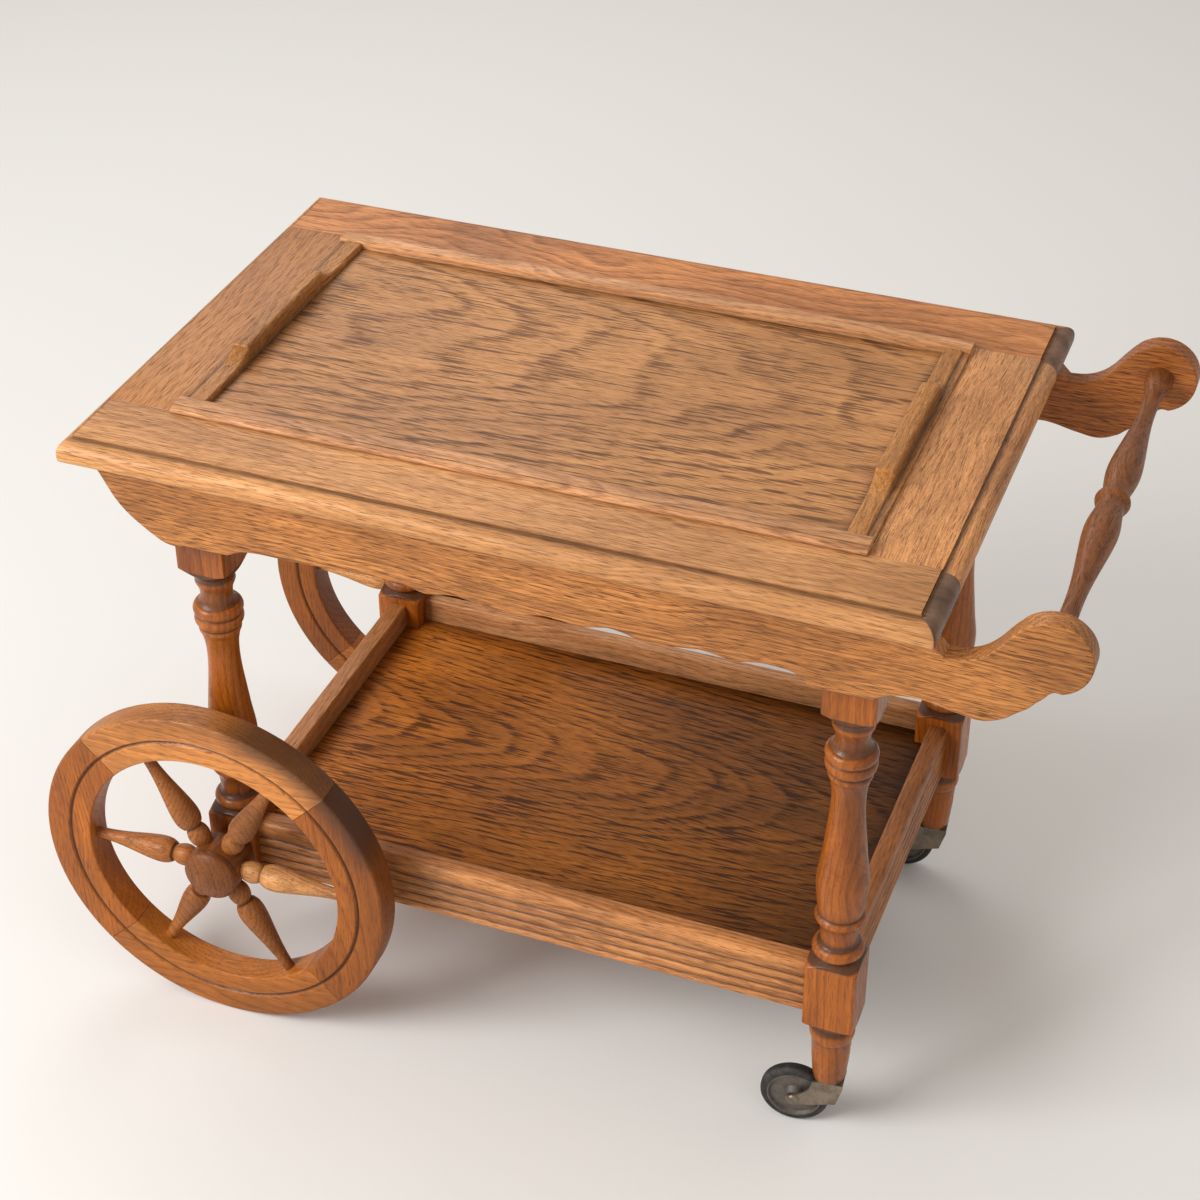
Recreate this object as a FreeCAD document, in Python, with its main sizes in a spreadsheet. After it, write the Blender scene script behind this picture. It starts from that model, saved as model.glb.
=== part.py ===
import FreeCAD, Part
import math
import os
import Sketcher
from FreeCAD import Placement, Rotation, Vector

# Oak serving trolley: a framed top with a lift-off tray, four turned legs, scalloped side
# boards that run on as push arms, a low shelf, two spoked wheels and two swivel casters.
# X runs along the top towards the push bar, -Y is the front, Z is up, the floor is Z = 0.
# Lengths are in millimetres and angles in degrees.

os.makedirs("parts", exist_ok=True)
doc = FreeCAD.newDocument("ServingTrolley")
sheet = doc.addObject("Spreadsheet::Sheet", "Sizes")

sizes = {
    # top frame
    "topLength": 788, "topDepth": 518, "topThickness": 22, "topHeight": 643,
    "trayMargin": 77, "lipOverlap": 4,
    "stepWidth": 4.5, "stepDrop": 2.8, "noseRadius": 11, "noseFoot": 4,
    "topTongue": 10, "topTongueThickness": 8,
    # tray
    "trayGap": 1, "trayPlug": 12, "lipHeight": 3,
    "lipCurve": 7, "lipQuirk": 0.8, "stripRise": 6.5, "stripWidth": 14,
    "handleLedge": 7, "handleThickness": 17, "handleRise": 16.5, "handleLow": 4.8,
    "handleHold": 144, "handleRamp": 34, "trayPanelDrop": 1.5, "trayPanelThickness": 8,
    # side boards and push bar
    "boardThickness": 20, "boardOverhang": 21.5, "boardInset": 22, "armBeyond": 121,
    "boardDepth": 78, "armEndRadius": 33.5, "armRise": 12, "armDip": 19,
    "barRadius": 15.5, "barTenonRadius": 6, "barTenonLength": 10,
    # legs
    "legWidth": 48, "wheelLegInset": 111, "casterLegInset": 75,
    "upperBlock": 121, "lowerBlock": 72,
    # end aprons
    "apronHeight": 70, "apronThickness": 18, "apronTenonWidth": 9,
    # shelf
    "shelfSetDown": 7.5, "shelfRailHeight": 59, "shelfRailThickness": 18, "shelfRailInset": 11,
    "shelfRailRound": 7, "reedDepth": 2, "reedWidth": 3, "tenonLength": 12, "tenonWidth": 9,
    "tenonShoulder": 9, "shelfPanelDrop": 26.5, "shelfPanelThickness": 12,
    "panelTongue": 5, "shelfTongueThickness": 6, "trayTongueThickness": 5,
    # spoked wheels
    "wheelRadius": 180, "felloeDepth": 47.6, "rimThickness": 30, "wheelStandOff": 12.5,
    "rimRound": 3, "rimGrooveInset": 26, "rimGrooveWidth": 4, "rimGrooveDepth": 2.5,
    "spokeSwell": 13, "spokeTenonRadius": 5, "hubTenonRadius": 6, "spokeTenonLength": 12,
    "hubRadius": 27, "hubNeckRadius": 22, "hubStandOff": 1.5, "hubProud": 2,
    "hubCapThickness": 12, "hubCapHollow": 15, "hubCapWall": 3,
    "axleRadius": 6, "axleDepth": 32, "axleCollarRadius": 13, "nutAcross": 19, "nutThickness": 5.5,
    # casters
    "casterRadius": 33, "casterWidth": 13, "casterTrail": 31, "casterTurn": 6,
    "tyreThickness": 7, "discDish": 3, "rivetRadius": 3.5, "rivetHead": 5.5,
    "forkRise": 30.5, "forkGauge": 2.2, "forkPlateFront": 15, "forkPlateBack": 11,
    "forkCheekRadius": 7, "forkCheekBack": 14, "forkCheekGap": 3,
    "stemRadius": 4, "stemLength": 30, "stemGap": 2, "socketRadius": 5.5, "socketFlangeRadius": 14,
    "socketFlange": 1.5,
    # screws
    "screwRadius": 2, "screwHeadRadius": 4, "screwHead": 2, "screwBite": 13, "screwSpacing": 30,
    # clearances
    "runningClearance": 0.05, "fitClearance": 0.1, "sideClearance": 0.3, "overrun": 20,
}


class Size:
    """A length, with the sheet expression that it comes from."""

    def __init__(self, number, text):
        self.number = float(number)
        self.text = text

    def joined(self, other, sign, number):
        words = other.text if isinstance(other, Size) else repr(other)
        return Size(number, f"({self.text} {sign} {words})")

    def __add__(self, other):
        return self.joined(other, "+", self.number + float(other))

    def __sub__(self, other):
        return self.joined(other, "-", self.number - float(other))

    def __mul__(self, other):
        return self.joined(other, "*", self.number * float(other))

    def __truediv__(self, other):
        return self.joined(other, "/", self.number / float(other))

    def __neg__(self):
        return Size(-self.number, f"(-{self.text})")

    def __float__(self):
        return self.number


class Sizes:
    """The named lengths, each an attribute."""


s = Sizes()
for row, (alias, number) in enumerate(sizes.items(), start=1):
    sheet.set(f"A{row}", alias)
    sheet.set(f"B{row}", str(number))
    sheet.setAlias(f"B{row}", alias)
    setattr(s, alias, Size(number, "Sizes." + alias))
doc.recompute()

zero = Size(0, "0")
pieces = []

# Places that follow from the named lengths. The tray leaves an even margin on the top, and
# the legs, boards and arms are set out from the top's ends.
trayLength = s.topLength - s.trayMargin * 2
trayDepth = s.topDepth - s.trayMargin * 2
openingLength = trayLength - s.lipOverlap * 2
openingDepth = trayDepth - s.lipOverlap * 2
wheelLegX = s.topLength / 2 - s.wheelLegInset
casterLegX = s.topLength / 2 - s.casterLegInset
boardLeft = s.topLength / 2 - s.boardInset
armReach = s.topLength / 2 + s.armBeyond
barReach = armReach - s.armEndRadius
topZ = s.topHeight
barLevel = topZ + s.armRise - s.armEndRadius
underTop = topZ - s.topThickness
boardInner = s.topDepth / 2 - s.boardOverhang - s.boardThickness
legY = boardInner - s.legWidth / 2
legHalf = s.legWidth / 2
axleZ = s.wheelRadius
upperFoot = underTop - s.upperBlock
lowerHead = axleZ + s.lowerBlock / 2
lowerFoot = axleZ - s.lowerBlock / 2
footEnd = s.casterRadius + s.forkRise
turnedLength = upperFoot - lowerHead
footLength = lowerFoot - footEnd
shelfTop = lowerHead - s.shelfSetDown
shelfFoot = shelfTop - s.shelfRailHeight
shelfRailOuter = boardInner - s.shelfRailInset
shelfRailInner = shelfRailOuter - s.shelfRailThickness
rimOuterFace = boardInner + s.wheelStandOff + s.rimThickness
rimMiddle = rimOuterFace - s.rimThickness / 2
hubInnerFace = boardInner + s.hubStandOff
hubOuterFace = rimOuterFace + s.hubProud
# The origin stands under the middle of the whole outline, wheel rim to arm end.
middle = (armReach - wheelLegX - s.wheelRadius) / 2


def bind(thing, name, length):
    thing.setExpression(name, length.text)


def place(thing, x, y, z, rotation=None):
    thing.Placement = Placement(Vector(float(x), float(y), float(z)), rotation or Rotation())
    bind(thing, "Placement.Base.x", x)
    bind(thing, "Placement.Base.y", y)
    bind(thing, "Placement.Base.z", z)
    return thing


def newBody(label):
    piece = doc.addObject("PartDesign::Body", label)
    piece.Label = label
    return piece


def originPart(piece, role):
    return next(item for item in piece.Origin.OriginFeatures if item.Role == role)


def newSketch(piece, role, offset=zero, turn=None):
    sketch = piece.newObject("Sketcher::SketchObject", piece.Label + "_sketch")
    sketch.AttachmentSupport = [(originPart(piece, role), "")]
    sketch.MapMode = "FlatFace"
    sketch.AttachmentOffset = Placement(Vector(0, 0, float(offset)), turn or Rotation())
    bind(sketch, "AttachmentOffset.Base.z", offset)
    return sketch


def hold(sketch, index, point, x, y):
    """Hold a point of the sketch at its two distances from the origin."""
    for kind, length, axis in (("DistanceX", x, -2), ("DistanceY", y, -1)):
        if length is zero:
            sketch.addConstraint(Sketcher.Constraint("PointOnObject", index, point, axis))
        else:
            rule = sketch.addConstraint(Sketcher.Constraint(kind, -1, 1, index, point, float(length)))
            sketch.setExpression(f"Constraints[{rule}]", length.text)


def rectangle(sketch, x0, x1, y0, y1):
    """Four lines held by four distances from the sketch's origin."""
    first = len(sketch.Geometry)
    corners = [Vector(float(x), float(y), 0) for x, y in ((x0, y0), (x1, y0), (x1, y1), (x0, y1))]
    for index in range(4):
        sketch.addGeometry(Part.LineSegment(corners[index], corners[(index + 1) % 4]), False)
    for index in range(4):
        sketch.addConstraint(Sketcher.Constraint("Coincident", first + index, 2, first + (index + 1) % 4, 1))
        level = "Vertical" if index % 2 else "Horizontal"
        sketch.addConstraint(Sketcher.Constraint(level, first + index))
    hold(sketch, first, 1, x0, y0)
    hold(sketch, first + 2, 1, x1, y1)


def circle(sketch, x, y, radius):
    index = sketch.addGeometry(
        Part.Circle(Vector(float(x), float(y), 0), Vector(0, 0, 1), float(radius)), False,
    )
    rule = sketch.addConstraint(Sketcher.Constraint("Radius", index, float(radius)))
    sketch.setExpression(f"Constraints[{rule}]", radius.text)
    hold(sketch, index, 3, x, y)


def trace(sketch, start, runs):
    """A closed outline: a run of one point is a line, of two an arc, of more a smooth curve."""
    here = Vector(float(start[0]), float(start[1]), 0)
    for run in list(runs) + [[start]]:
        stops = [Vector(float(x), float(y), 0) for x, y in run]
        if len(stops) == 1 and stops[0].distanceToPoint(here) < 1e-7:
            continue
        if len(stops) == 1:
            edge = Part.LineSegment(here, stops[0])
        elif len(stops) == 2:
            edge = Part.Arc(here, stops[0], stops[1])
        else:
            edge = Part.BSplineCurve()
            edge.interpolate([here] + stops)
        sketch.addGeometry(edge, False)
        here = stops[-1]


def extrude(piece, sketch, length, cut=False):
    """Carry the sketch along its own normal, adding or cutting."""
    doc.recompute()
    before = piece.Shape.Volume if cut else 0
    feature = piece.newObject("PartDesign::Pocket" if cut else "PartDesign::Pad", piece.Label + "_form")
    feature.Profile = sketch
    feature.Length = float(length)
    bind(feature, "Length", length)
    feature.Reversed = cut
    doc.recompute()
    if cut and piece.Shape.Volume >= before:
        raise ValueError("nothing was cut from " + piece.Label)
    return feature


def block(piece, x0, x1, y0, y1, z0, z1, cut=False):
    """A box between named planes, added to the body or cut from it."""
    sketch = newSketch(piece, "XY_Plane", z0)
    rectangle(sketch, x0, x1, y0, y1)
    return extrude(piece, sketch, z1 - z0, cut)


def revolve(piece, sketch, axis, angle=360, cut=False):
    doc.recompute()
    before = piece.Shape.Volume if cut else 0
    kind = "PartDesign::Groove" if cut else "PartDesign::Revolution"
    feature = piece.newObject(kind, piece.Label + "_turning")
    feature.Profile = sketch
    feature.ReferenceAxis = (sketch, [axis])
    feature.Angle = angle
    doc.recompute()
    if cut and piece.Shape.Volume >= before:
        raise ValueError("nothing was cut from " + piece.Label)
    return feature


# Top frame. The moulded edge: a small step in, then a nose that is a quarter round with a foot.
def noseRuns(flatX, topLevel, side, outerX):
    """The edge's outline from the flat field out and down to the underside."""
    step = float(s.stepWidth)
    drop = float(s.stepDrop)
    radius = float(s.noseRadius)
    foot = float(s.noseFoot)
    bevel = radius * math.sqrt(0.5)
    footBevel = foot * math.sqrt(0.5)
    centre = (flatX + side * step, topLevel - drop - radius)
    under = topLevel - float(s.topThickness)
    return [
        [(flatX, topLevel - drop)],
        [(flatX + side * step, topLevel - drop)],
        [(centre[0] + side * bevel, centre[1] + bevel), (outerX, centre[1])],
        [(outerX, under + foot)],
        [(outerX - side * (foot - footBevel), under + foot - footBevel), (outerX - side * foot, under)],
    ]


mouldingWidth = s.stepWidth + s.noseRadius


def topRail(label, side):
    piece = newBody(label)
    outer = side * float(s.topDepth / 2)
    flat = side * float(s.topDepth / 2 - mouldingWidth)
    inner = side * float(openingDepth / 2)
    level = float(topZ)
    sketch = newSketch(piece, "YZ_Plane", -(s.topLength / 2))
    runs = [[(flat, level)]] + noseRuns(flat, level, side, outer) + [[(inner, float(underTop))]]
    trace(sketch, (inner, level), runs)
    extrude(piece, sketch, s.topLength)
    ends = newSketch(piece, "XZ_Plane", -(s.topDepth / 2 + s.overrun))
    for end in (-1, 1):
        edge = end * float(s.topLength / 2)
        field = end * float(s.topLength / 2 - mouldingWidth)
        far = edge + end * float(s.overrun)
        roof = level + float(s.overrun)
        floor = float(underTop - s.overrun)
        waste = [[(field, level)]] + noseRuns(field, level, end, edge)
        waste += [[(edge - end * float(s.noseFoot), floor)], [(far, floor)], [(far, roof)]]
        trace(ends, (field, roof), waste)
    extrude(piece, ends, s.topDepth + s.overrun * 2, cut=True)
    # mortises for the end rails' tongues
    tongueZ = underTop + (s.topThickness - s.topTongueThickness) / 2
    mouth = openingDepth / 2
    low = mouth if side > 0 else -(mouth + s.topTongue + s.fitClearance)
    high = mouth + s.topTongue + s.fitClearance if side > 0 else -mouth
    tongueIn = openingLength / 2 + s.topTongue
    tongueOut = s.topLength / 2 - mouldingWidth - s.topTongue
    for end in (-1, 1):
        near = tongueIn - s.fitClearance
        far = tongueOut + s.fitClearance
        spanX = (near, far) if end > 0 else (-far, -near)
        block(
            piece, spanX[0], spanX[1], low, high,
            tongueZ - s.fitClearance, tongueZ + s.topTongueThickness + s.fitClearance, cut=True,
        )
    place(piece, -middle, zero, zero)
    pieces.append(piece)


def topEndRail(label, end):
    piece = newBody(label)
    outer = end * float(s.topLength / 2)
    flat = end * float(s.topLength / 2 - mouldingWidth)
    inner = end * float(openingLength / 2)
    level = float(topZ)
    sketch = newSketch(piece, "XZ_Plane", -(openingDepth / 2))
    runs = [[(flat, level)]] + noseRuns(flat, level, end, outer) + [[(inner, float(underTop))]]
    trace(sketch, (inner, level), runs)
    extrude(piece, sketch, openingDepth)
    tongueZ = underTop + (s.topThickness - s.topTongueThickness) / 2
    tongueIn = openingLength / 2 + s.topTongue
    tongueOut = s.topLength / 2 - mouldingWidth - s.topTongue
    spanX = (tongueIn, tongueOut) if end > 0 else (-tongueOut, -tongueIn)
    reach = openingDepth / 2 + s.topTongue
    block(piece, spanX[0], spanX[1], -reach, reach, tongueZ, tongueZ + s.topTongueThickness)
    place(piece, -middle, zero, zero)
    pieces.append(piece)


topRail("top_rail_front", -1)
topRail("top_rail_back", 1)
topEndRail("top_rail_left", -1)
topEndRail("top_rail_right", 1)

# Tray. Its lip lies on the top, its plug drops into the opening.
plugX = openingLength / 2 - s.trayGap
plugY = openingDepth / 2 - s.trayGap
stripInner = trayDepth / 2 - s.lipCurve - s.stripWidth
handleOuter = trayLength / 2 - s.handleLedge
handleInner = handleOuter - s.handleThickness
trayPanelTop = topZ - s.trayPanelDrop
trayTongueZ = trayPanelTop - s.trayPanelThickness
grooveDepth = s.panelTongue + s.fitClearance


# The ovolo's bow: shares of its width in from the edge and of its height.
bowShares = (0.6, 0.75)


def trayStrip(label, side):
    """Lip, ovolo, quirk and flat top outside; a plug with the panel's groove below."""
    piece = newBody(label)
    lip = side * float(trayDepth / 2)
    shoulder = side * float(trayDepth / 2 - s.lipCurve)
    inner = side * float(stripInner)
    plug = side * float(plugY)
    base = float(topZ)
    lipTop = base + float(s.lipHeight)
    crest = base + float(s.stripRise)
    quirk = crest - float(s.lipQuirk)
    curve = float(s.lipCurve)
    rise = quirk - lipTop
    foot = base - float(s.trayPlug)
    slotTop = float(trayTongueZ + s.trayTongueThickness + s.fitClearance)
    slotFoot = float(trayTongueZ - s.fitClearance)
    back = inner + side * float(grooveDepth)
    bow = (lip - side * curve * bowShares[0], lipTop + rise * bowShares[1])
    sketch = newSketch(piece, "YZ_Plane", -(trayLength / 2))
    trace(
        sketch, (plug, base),
        [
            [(lip, base)], [(lip, lipTop)], [bow, (shoulder, quirk)], [(shoulder, crest)],
            [(inner, crest)], [(inner, slotTop)], [(back, slotTop)], [(back, slotFoot)],
            [(inner, slotFoot)], [(inner, foot)], [(plug, foot)],
        ],
    )
    extrude(piece, sketch, trayLength)
    # the ends stop short of the opening below the lip
    for end in (-1, 1):
        far = trayLength / 2 + s.overrun
        spanX = (plugX, far) if end > 0 else (-far, -plugX)
        block(
            piece, spanX[0], spanX[1], -(trayDepth / 2 + s.overrun), trayDepth / 2 + s.overrun,
            topZ - s.trayPlug - s.overrun, topZ, cut=True,
        )
    place(piece, -middle, zero, zero)
    pieces.append(piece)


# One half of a tray handle's upper edge, from the low end up the ramp to the hold:
# shares of the ramp's length and of the rise from the low end to the hold.
rampShares = [[(0.30, 0.06), (0.55, 0.26), (0.86, 0.62)], [(0.86, 0.70)], [(0.90, 0.95), (1.0, 1.0)]]


def trayHandle(label, end):
    piece = newBody(label)
    reach = float(stripInner)
    hold = float(s.handleHold / 2)
    ramp = float(s.handleRamp)
    low = float(topZ + s.handleLow)
    gain = float(s.handleRise - s.handleLow)
    foot = float(topZ - s.trayPlug)
    rising = [[(-hold - ramp + ramp * u, low + gain * v) for u, v in run] for run in rampShares]
    falling = []
    path = [(-hold - ramp, low)] + [stop for run in rising for stop in run]
    counts = [len(run) for run in rising]
    mirrored = [(-x, z) for x, z in path][::-1]
    index = 1
    for count in counts[::-1]:
        falling.append(mirrored[index:index + count])
        index += count
    sketch = newSketch(piece, "YZ_Plane", handleInner if end > 0 else -handleOuter)
    trace(
        sketch, (-reach, foot),
        [[(-reach, low)], [(-hold - ramp, low)]] + rising + [[(hold, low + gain)]] + falling
        + [[(reach, low)], [(reach, foot)]],
    )
    extrude(piece, sketch, s.handleThickness)
    # the lip outside the handle
    lipEnd = trayLength / 2
    spanX = (handleOuter, lipEnd) if end > 0 else (-lipEnd, -handleOuter)
    block(piece, spanX[0], spanX[1], -stripInner, stripInner, topZ, topZ + s.lipHeight)
    spanX = (handleOuter, plugX) if end > 0 else (-plugX, -handleOuter)
    block(piece, spanX[0], spanX[1], -stripInner, stripInner, topZ - s.trayPlug, topZ)
    # groove for the panel's tongue
    grooveEnd = handleInner + grooveDepth
    spanX = (handleInner, grooveEnd) if end > 0 else (-grooveEnd, -handleInner)
    block(
        piece, spanX[0], spanX[1], -(stripInner + s.overrun), stripInner + s.overrun,
        trayTongueZ - s.fitClearance, trayTongueZ + s.trayTongueThickness + s.fitClearance, cut=True,
    )
    place(piece, -middle, zero, zero)
    pieces.append(piece)


trayStrip("tray_rail_front", -1)
trayStrip("tray_rail_back", 1)
trayHandle("tray_handle_left", -1)
trayHandle("tray_handle_right", 1)

trayPanel = newBody("tray_panel")
fieldX = handleInner - s.sideClearance
fieldY = stripInner - s.sideClearance
block(trayPanel, -fieldX, fieldX, -fieldY, fieldY, trayTongueZ, trayPanelTop)
block(
    trayPanel, -(handleInner + s.panelTongue), handleInner + s.panelTongue,
    -(stripInner + s.panelTongue), stripInner + s.panelTongue,
    trayTongueZ, trayTongueZ + s.trayTongueThickness,
)
place(trayPanel, -middle, zero, zero)
pieces.append(trayPanel)

# Side boards. The lower edge, left end to arm: shares of the board's length from its left end
# and of its depth below the underside of the top. Each cusp between two curves starts a run.
edgeShares = [
    [(0.012, 0.23), (0.030, 0.58), (0.071, 0.96)],
    [(0.079, 1.00), (0.100, 0.985)], [(0.125, 0.985), (0.148, 0.978)],
    [(0.160, 0.91), (0.173, 0.877), (0.200, 0.866), (0.245, 0.858), (0.309, 0.823), (0.340, 0.84)],
    [(0.351, 0.875), (0.362, 0.897), (0.380, 0.86), (0.396, 0.840)],
    [(0.415, 0.88), (0.430, 0.919), (0.441, 0.925), (0.452, 0.919), (0.467, 0.88), (0.484, 0.842)],
    [(0.500, 0.855), (0.519, 0.874), (0.535, 0.85), (0.548, 0.814)],
    [(0.562, 0.83), (0.578, 0.877), (0.596, 0.889), (0.620, 0.86), (0.640, 0.829)],
    [(0.655, 0.85), (0.674, 0.878), (0.688, 0.85), (0.700, 0.829)],
    [(0.722, 0.835), (0.738, 0.90), (0.744, 0.975)],
    [(0.775, 0.99), (0.806, 0.983)],
    [(0.816, 0.91), (0.828, 0.862), (0.850, 0.837)],
    [(0.862, 0.855), (0.876, 0.892), (0.890, 0.92), (0.904, 0.940), (0.915, 0.915), (0.929, 0.833)],
    [(0.938, 0.74), (0.947, 0.656), (0.953, 0.57)],
]
# The sweep from the lower edge into the arm's round end: shares of the way across and up, then the
# angle below level at which it meets the round.
sweepShares = [(0.34, 0.40), (0.655, 0.752)]
sweepEnd = math.radians(70)
# The arm's upper edge, from its round end down to the hollow under the top.
armShares = [(0.936, -0.26), (0.924, -0.12), (0.914, 0.05), (0.900, 0.17), (0.884, 0.235), (0.868, 0.25)]
# The screws stand off the leg's middle by this share of its width.
screwShare = 0.3
screwLevel = underTop - s.screwSpacing / 2
screwLevels = (screwLevel, screwLevel - s.screwSpacing)
screwOffset = s.legWidth * screwShare


def sideBoard(label, side):
    piece = newBody(label)
    length = float(armReach + boardLeft)
    depth = float(s.boardDepth)
    left = -float(boardLeft)
    level = float(underTop)
    lower = [[(left + length * u, level - depth * v) for u, v in run] for run in edgeShares]
    centreX = float(barReach)
    centreZ = float(barLevel)
    radius = float(s.armEndRadius)
    foot = lower[-1][-1]
    meet = (centreX + radius * math.cos(sweepEnd), centreZ - radius * math.sin(sweepEnd))
    lead = [[(foot[0] + (meet[0] - foot[0]) * u, foot[1] + (meet[1] - foot[1]) * v) for u, v in sweepShares] + [meet]]
    nose = [[(centreX + radius, centreZ), (centreX, centreZ + radius)]]
    upper = [[(left + length * u, level - depth * v) for u, v in armShares]]
    dip = float(s.armDip)
    cove, rest = upper[0][-1]
    bend = dip * math.sqrt(0.5)
    notch = [[(cove - dip + bend, rest + dip - bend), (cove - dip, level)]]
    sketch = newSketch(piece, "XZ_Plane", boardInner if side < 0 else -(boardInner + s.boardThickness))
    trace(sketch, (left, level), lower + lead + nose + upper + notch)
    extrude(piece, sketch, s.boardThickness)
    # blind holes in the inner face for the push bar's tenon and the screws from the legs
    holes = [(barReach, barLevel, s.barTenonRadius, s.barTenonLength)]
    for legX in (-wheelLegX, casterLegX):
        holes += [(legX + screwOffset, level, s.screwRadius, s.screwBite) for level in screwLevels]
    for x, z, radius, depth in holes:
        deep = depth + s.fitClearance
        hole = newSketch(piece, "XZ_Plane", boardInner if side < 0 else -(boardInner + deep))
        circle(hole, x, z, radius + s.fitClearance)
        extrude(piece, hole, deep, cut=True)
    place(piece, -middle, zero, zero)
    pieces.append(piece)


sideBoard("side_board_front", -1)
sideBoard("side_board_back", 1)

# Push bar, turned. Half outline from the middle bead to the end bulb: shares of the half span
# and of the bead's radius.
barShares = [
    [(0.014, 0.95), (0.034, 0.79)],
    [(0.055, 0.775), (0.092, 0.805), (0.156, 0.915), (0.216, 0.968), (0.322, 0.897), (0.464, 0.71),
     (0.598, 0.555), (0.690, 0.50), (0.772, 0.50), (0.851, 0.516)],
    [(0.890, 0.63), (0.943, 0.775), (0.993, 0.82), (1.0, 0.81)],
]


def mirrorRuns(start, runs):
    """The same runs taken backwards on the other side of the first point."""
    path = [start] + [stop for run in runs for stop in run]
    turned = [(-x, y) for x, y in path][::-1]
    back = []
    index = 1
    for run in runs[::-1]:
        back.append(turned[index:index + len(run)])
        index += len(run)
    return turned[0], back


bar = newBody("push_bar")
span = float(boardInner)
bead = float(s.barRadius)
peg = float(s.barTenonRadius)
pegEnd = span + float(s.barTenonLength)
half = [[(span * u, bead * v) for u, v in run] for run in barShares]
farEnd, back = mirrorRuns((0.0, bead), half)
barSketch = newSketch(bar, "XY_Plane")
flip = [[(radius, along) for along, radius in run] for run in back + half]
trace(
    barSketch, (0.0, -pegEnd),
    [[(peg, -pegEnd)], [(peg, -span)], [(farEnd[1], -span)]] + flip
    + [[(peg, span)], [(peg, pegEnd)], [(0.0, pegEnd)]],
)
revolve(bar, barSketch, "V_Axis")
place(bar, barReach - middle, zero, barLevel)
pieces.append(bar)

# Legs: square blanks, turned between the blocks. Outlines are shares of the turned length,
# from the top down, and of half the leg's width.
turnedShares = [
    [(0.004, 1.12), (0.032, 0.80)],
    [(0.045, 0.765), (0.058, 0.783), (0.074, 0.72), (0.107, 0.625), (0.137, 0.70), (0.148, 0.80)],
    [(0.150, 0.86)], [(0.167, 0.971), (0.188, 0.88)], [(0.213, 0.95), (0.234, 0.79)],
    [(0.248, 0.829), (0.262, 0.76)],
    [(0.300, 0.665), (0.354, 0.629), (0.410, 0.655), (0.468, 0.717), (0.535, 0.80), (0.599, 0.885),
     (0.6725, 0.9875), (0.730, 0.955), (0.785, 0.883), (0.806, 0.85)],
    [(0.812, 0.92)], [(0.824, 0.9625), (0.834, 0.90)],
    [(0.850, 0.80), (0.875, 0.73), (0.908, 0.708), (0.926, 0.73), (0.933, 0.80)],
    [(0.956, 0.9875), (0.978, 0.83)],
    [(0.994, 1.12), (1.012, 1.45)],
]
footShares = [
    [(0.015, 1.12), (0.150, 0.80)], [(0.245, 0.885), (0.335, 0.80)],
    [(0.450, 0.772), (0.600, 0.75), (0.800, 0.70), (0.950, 0.640), (0.985, 0.617)], [(1.0, 0.60)],
]


# A turned zone starts this share of its length above its own top, outside the blank's corners
# at this share of half the leg's width.
startShare = 0.012
cornerShare = 1.45


def turn(piece, tall, top, table, below=zero):
    """Cut a turned zone out of the square blank, and on past its lower end."""
    clear = float(s.legWidth)
    start = (float(legHalf) * cornerShare, float(top) + float(tall) * startShare)
    runs = [[(float(legHalf) * r, float(top) - float(tall) * d) for d, r in run] for run in table]
    last, foot = runs[-1][-1]
    foot -= float(below)
    sketch = newSketch(piece, "XZ_Plane")
    trace(sketch, start, runs + [[(last, foot)], [(clear, foot)], [(clear, start[1])]])
    revolve(piece, sketch, "V_Axis", cut=True)


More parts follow.
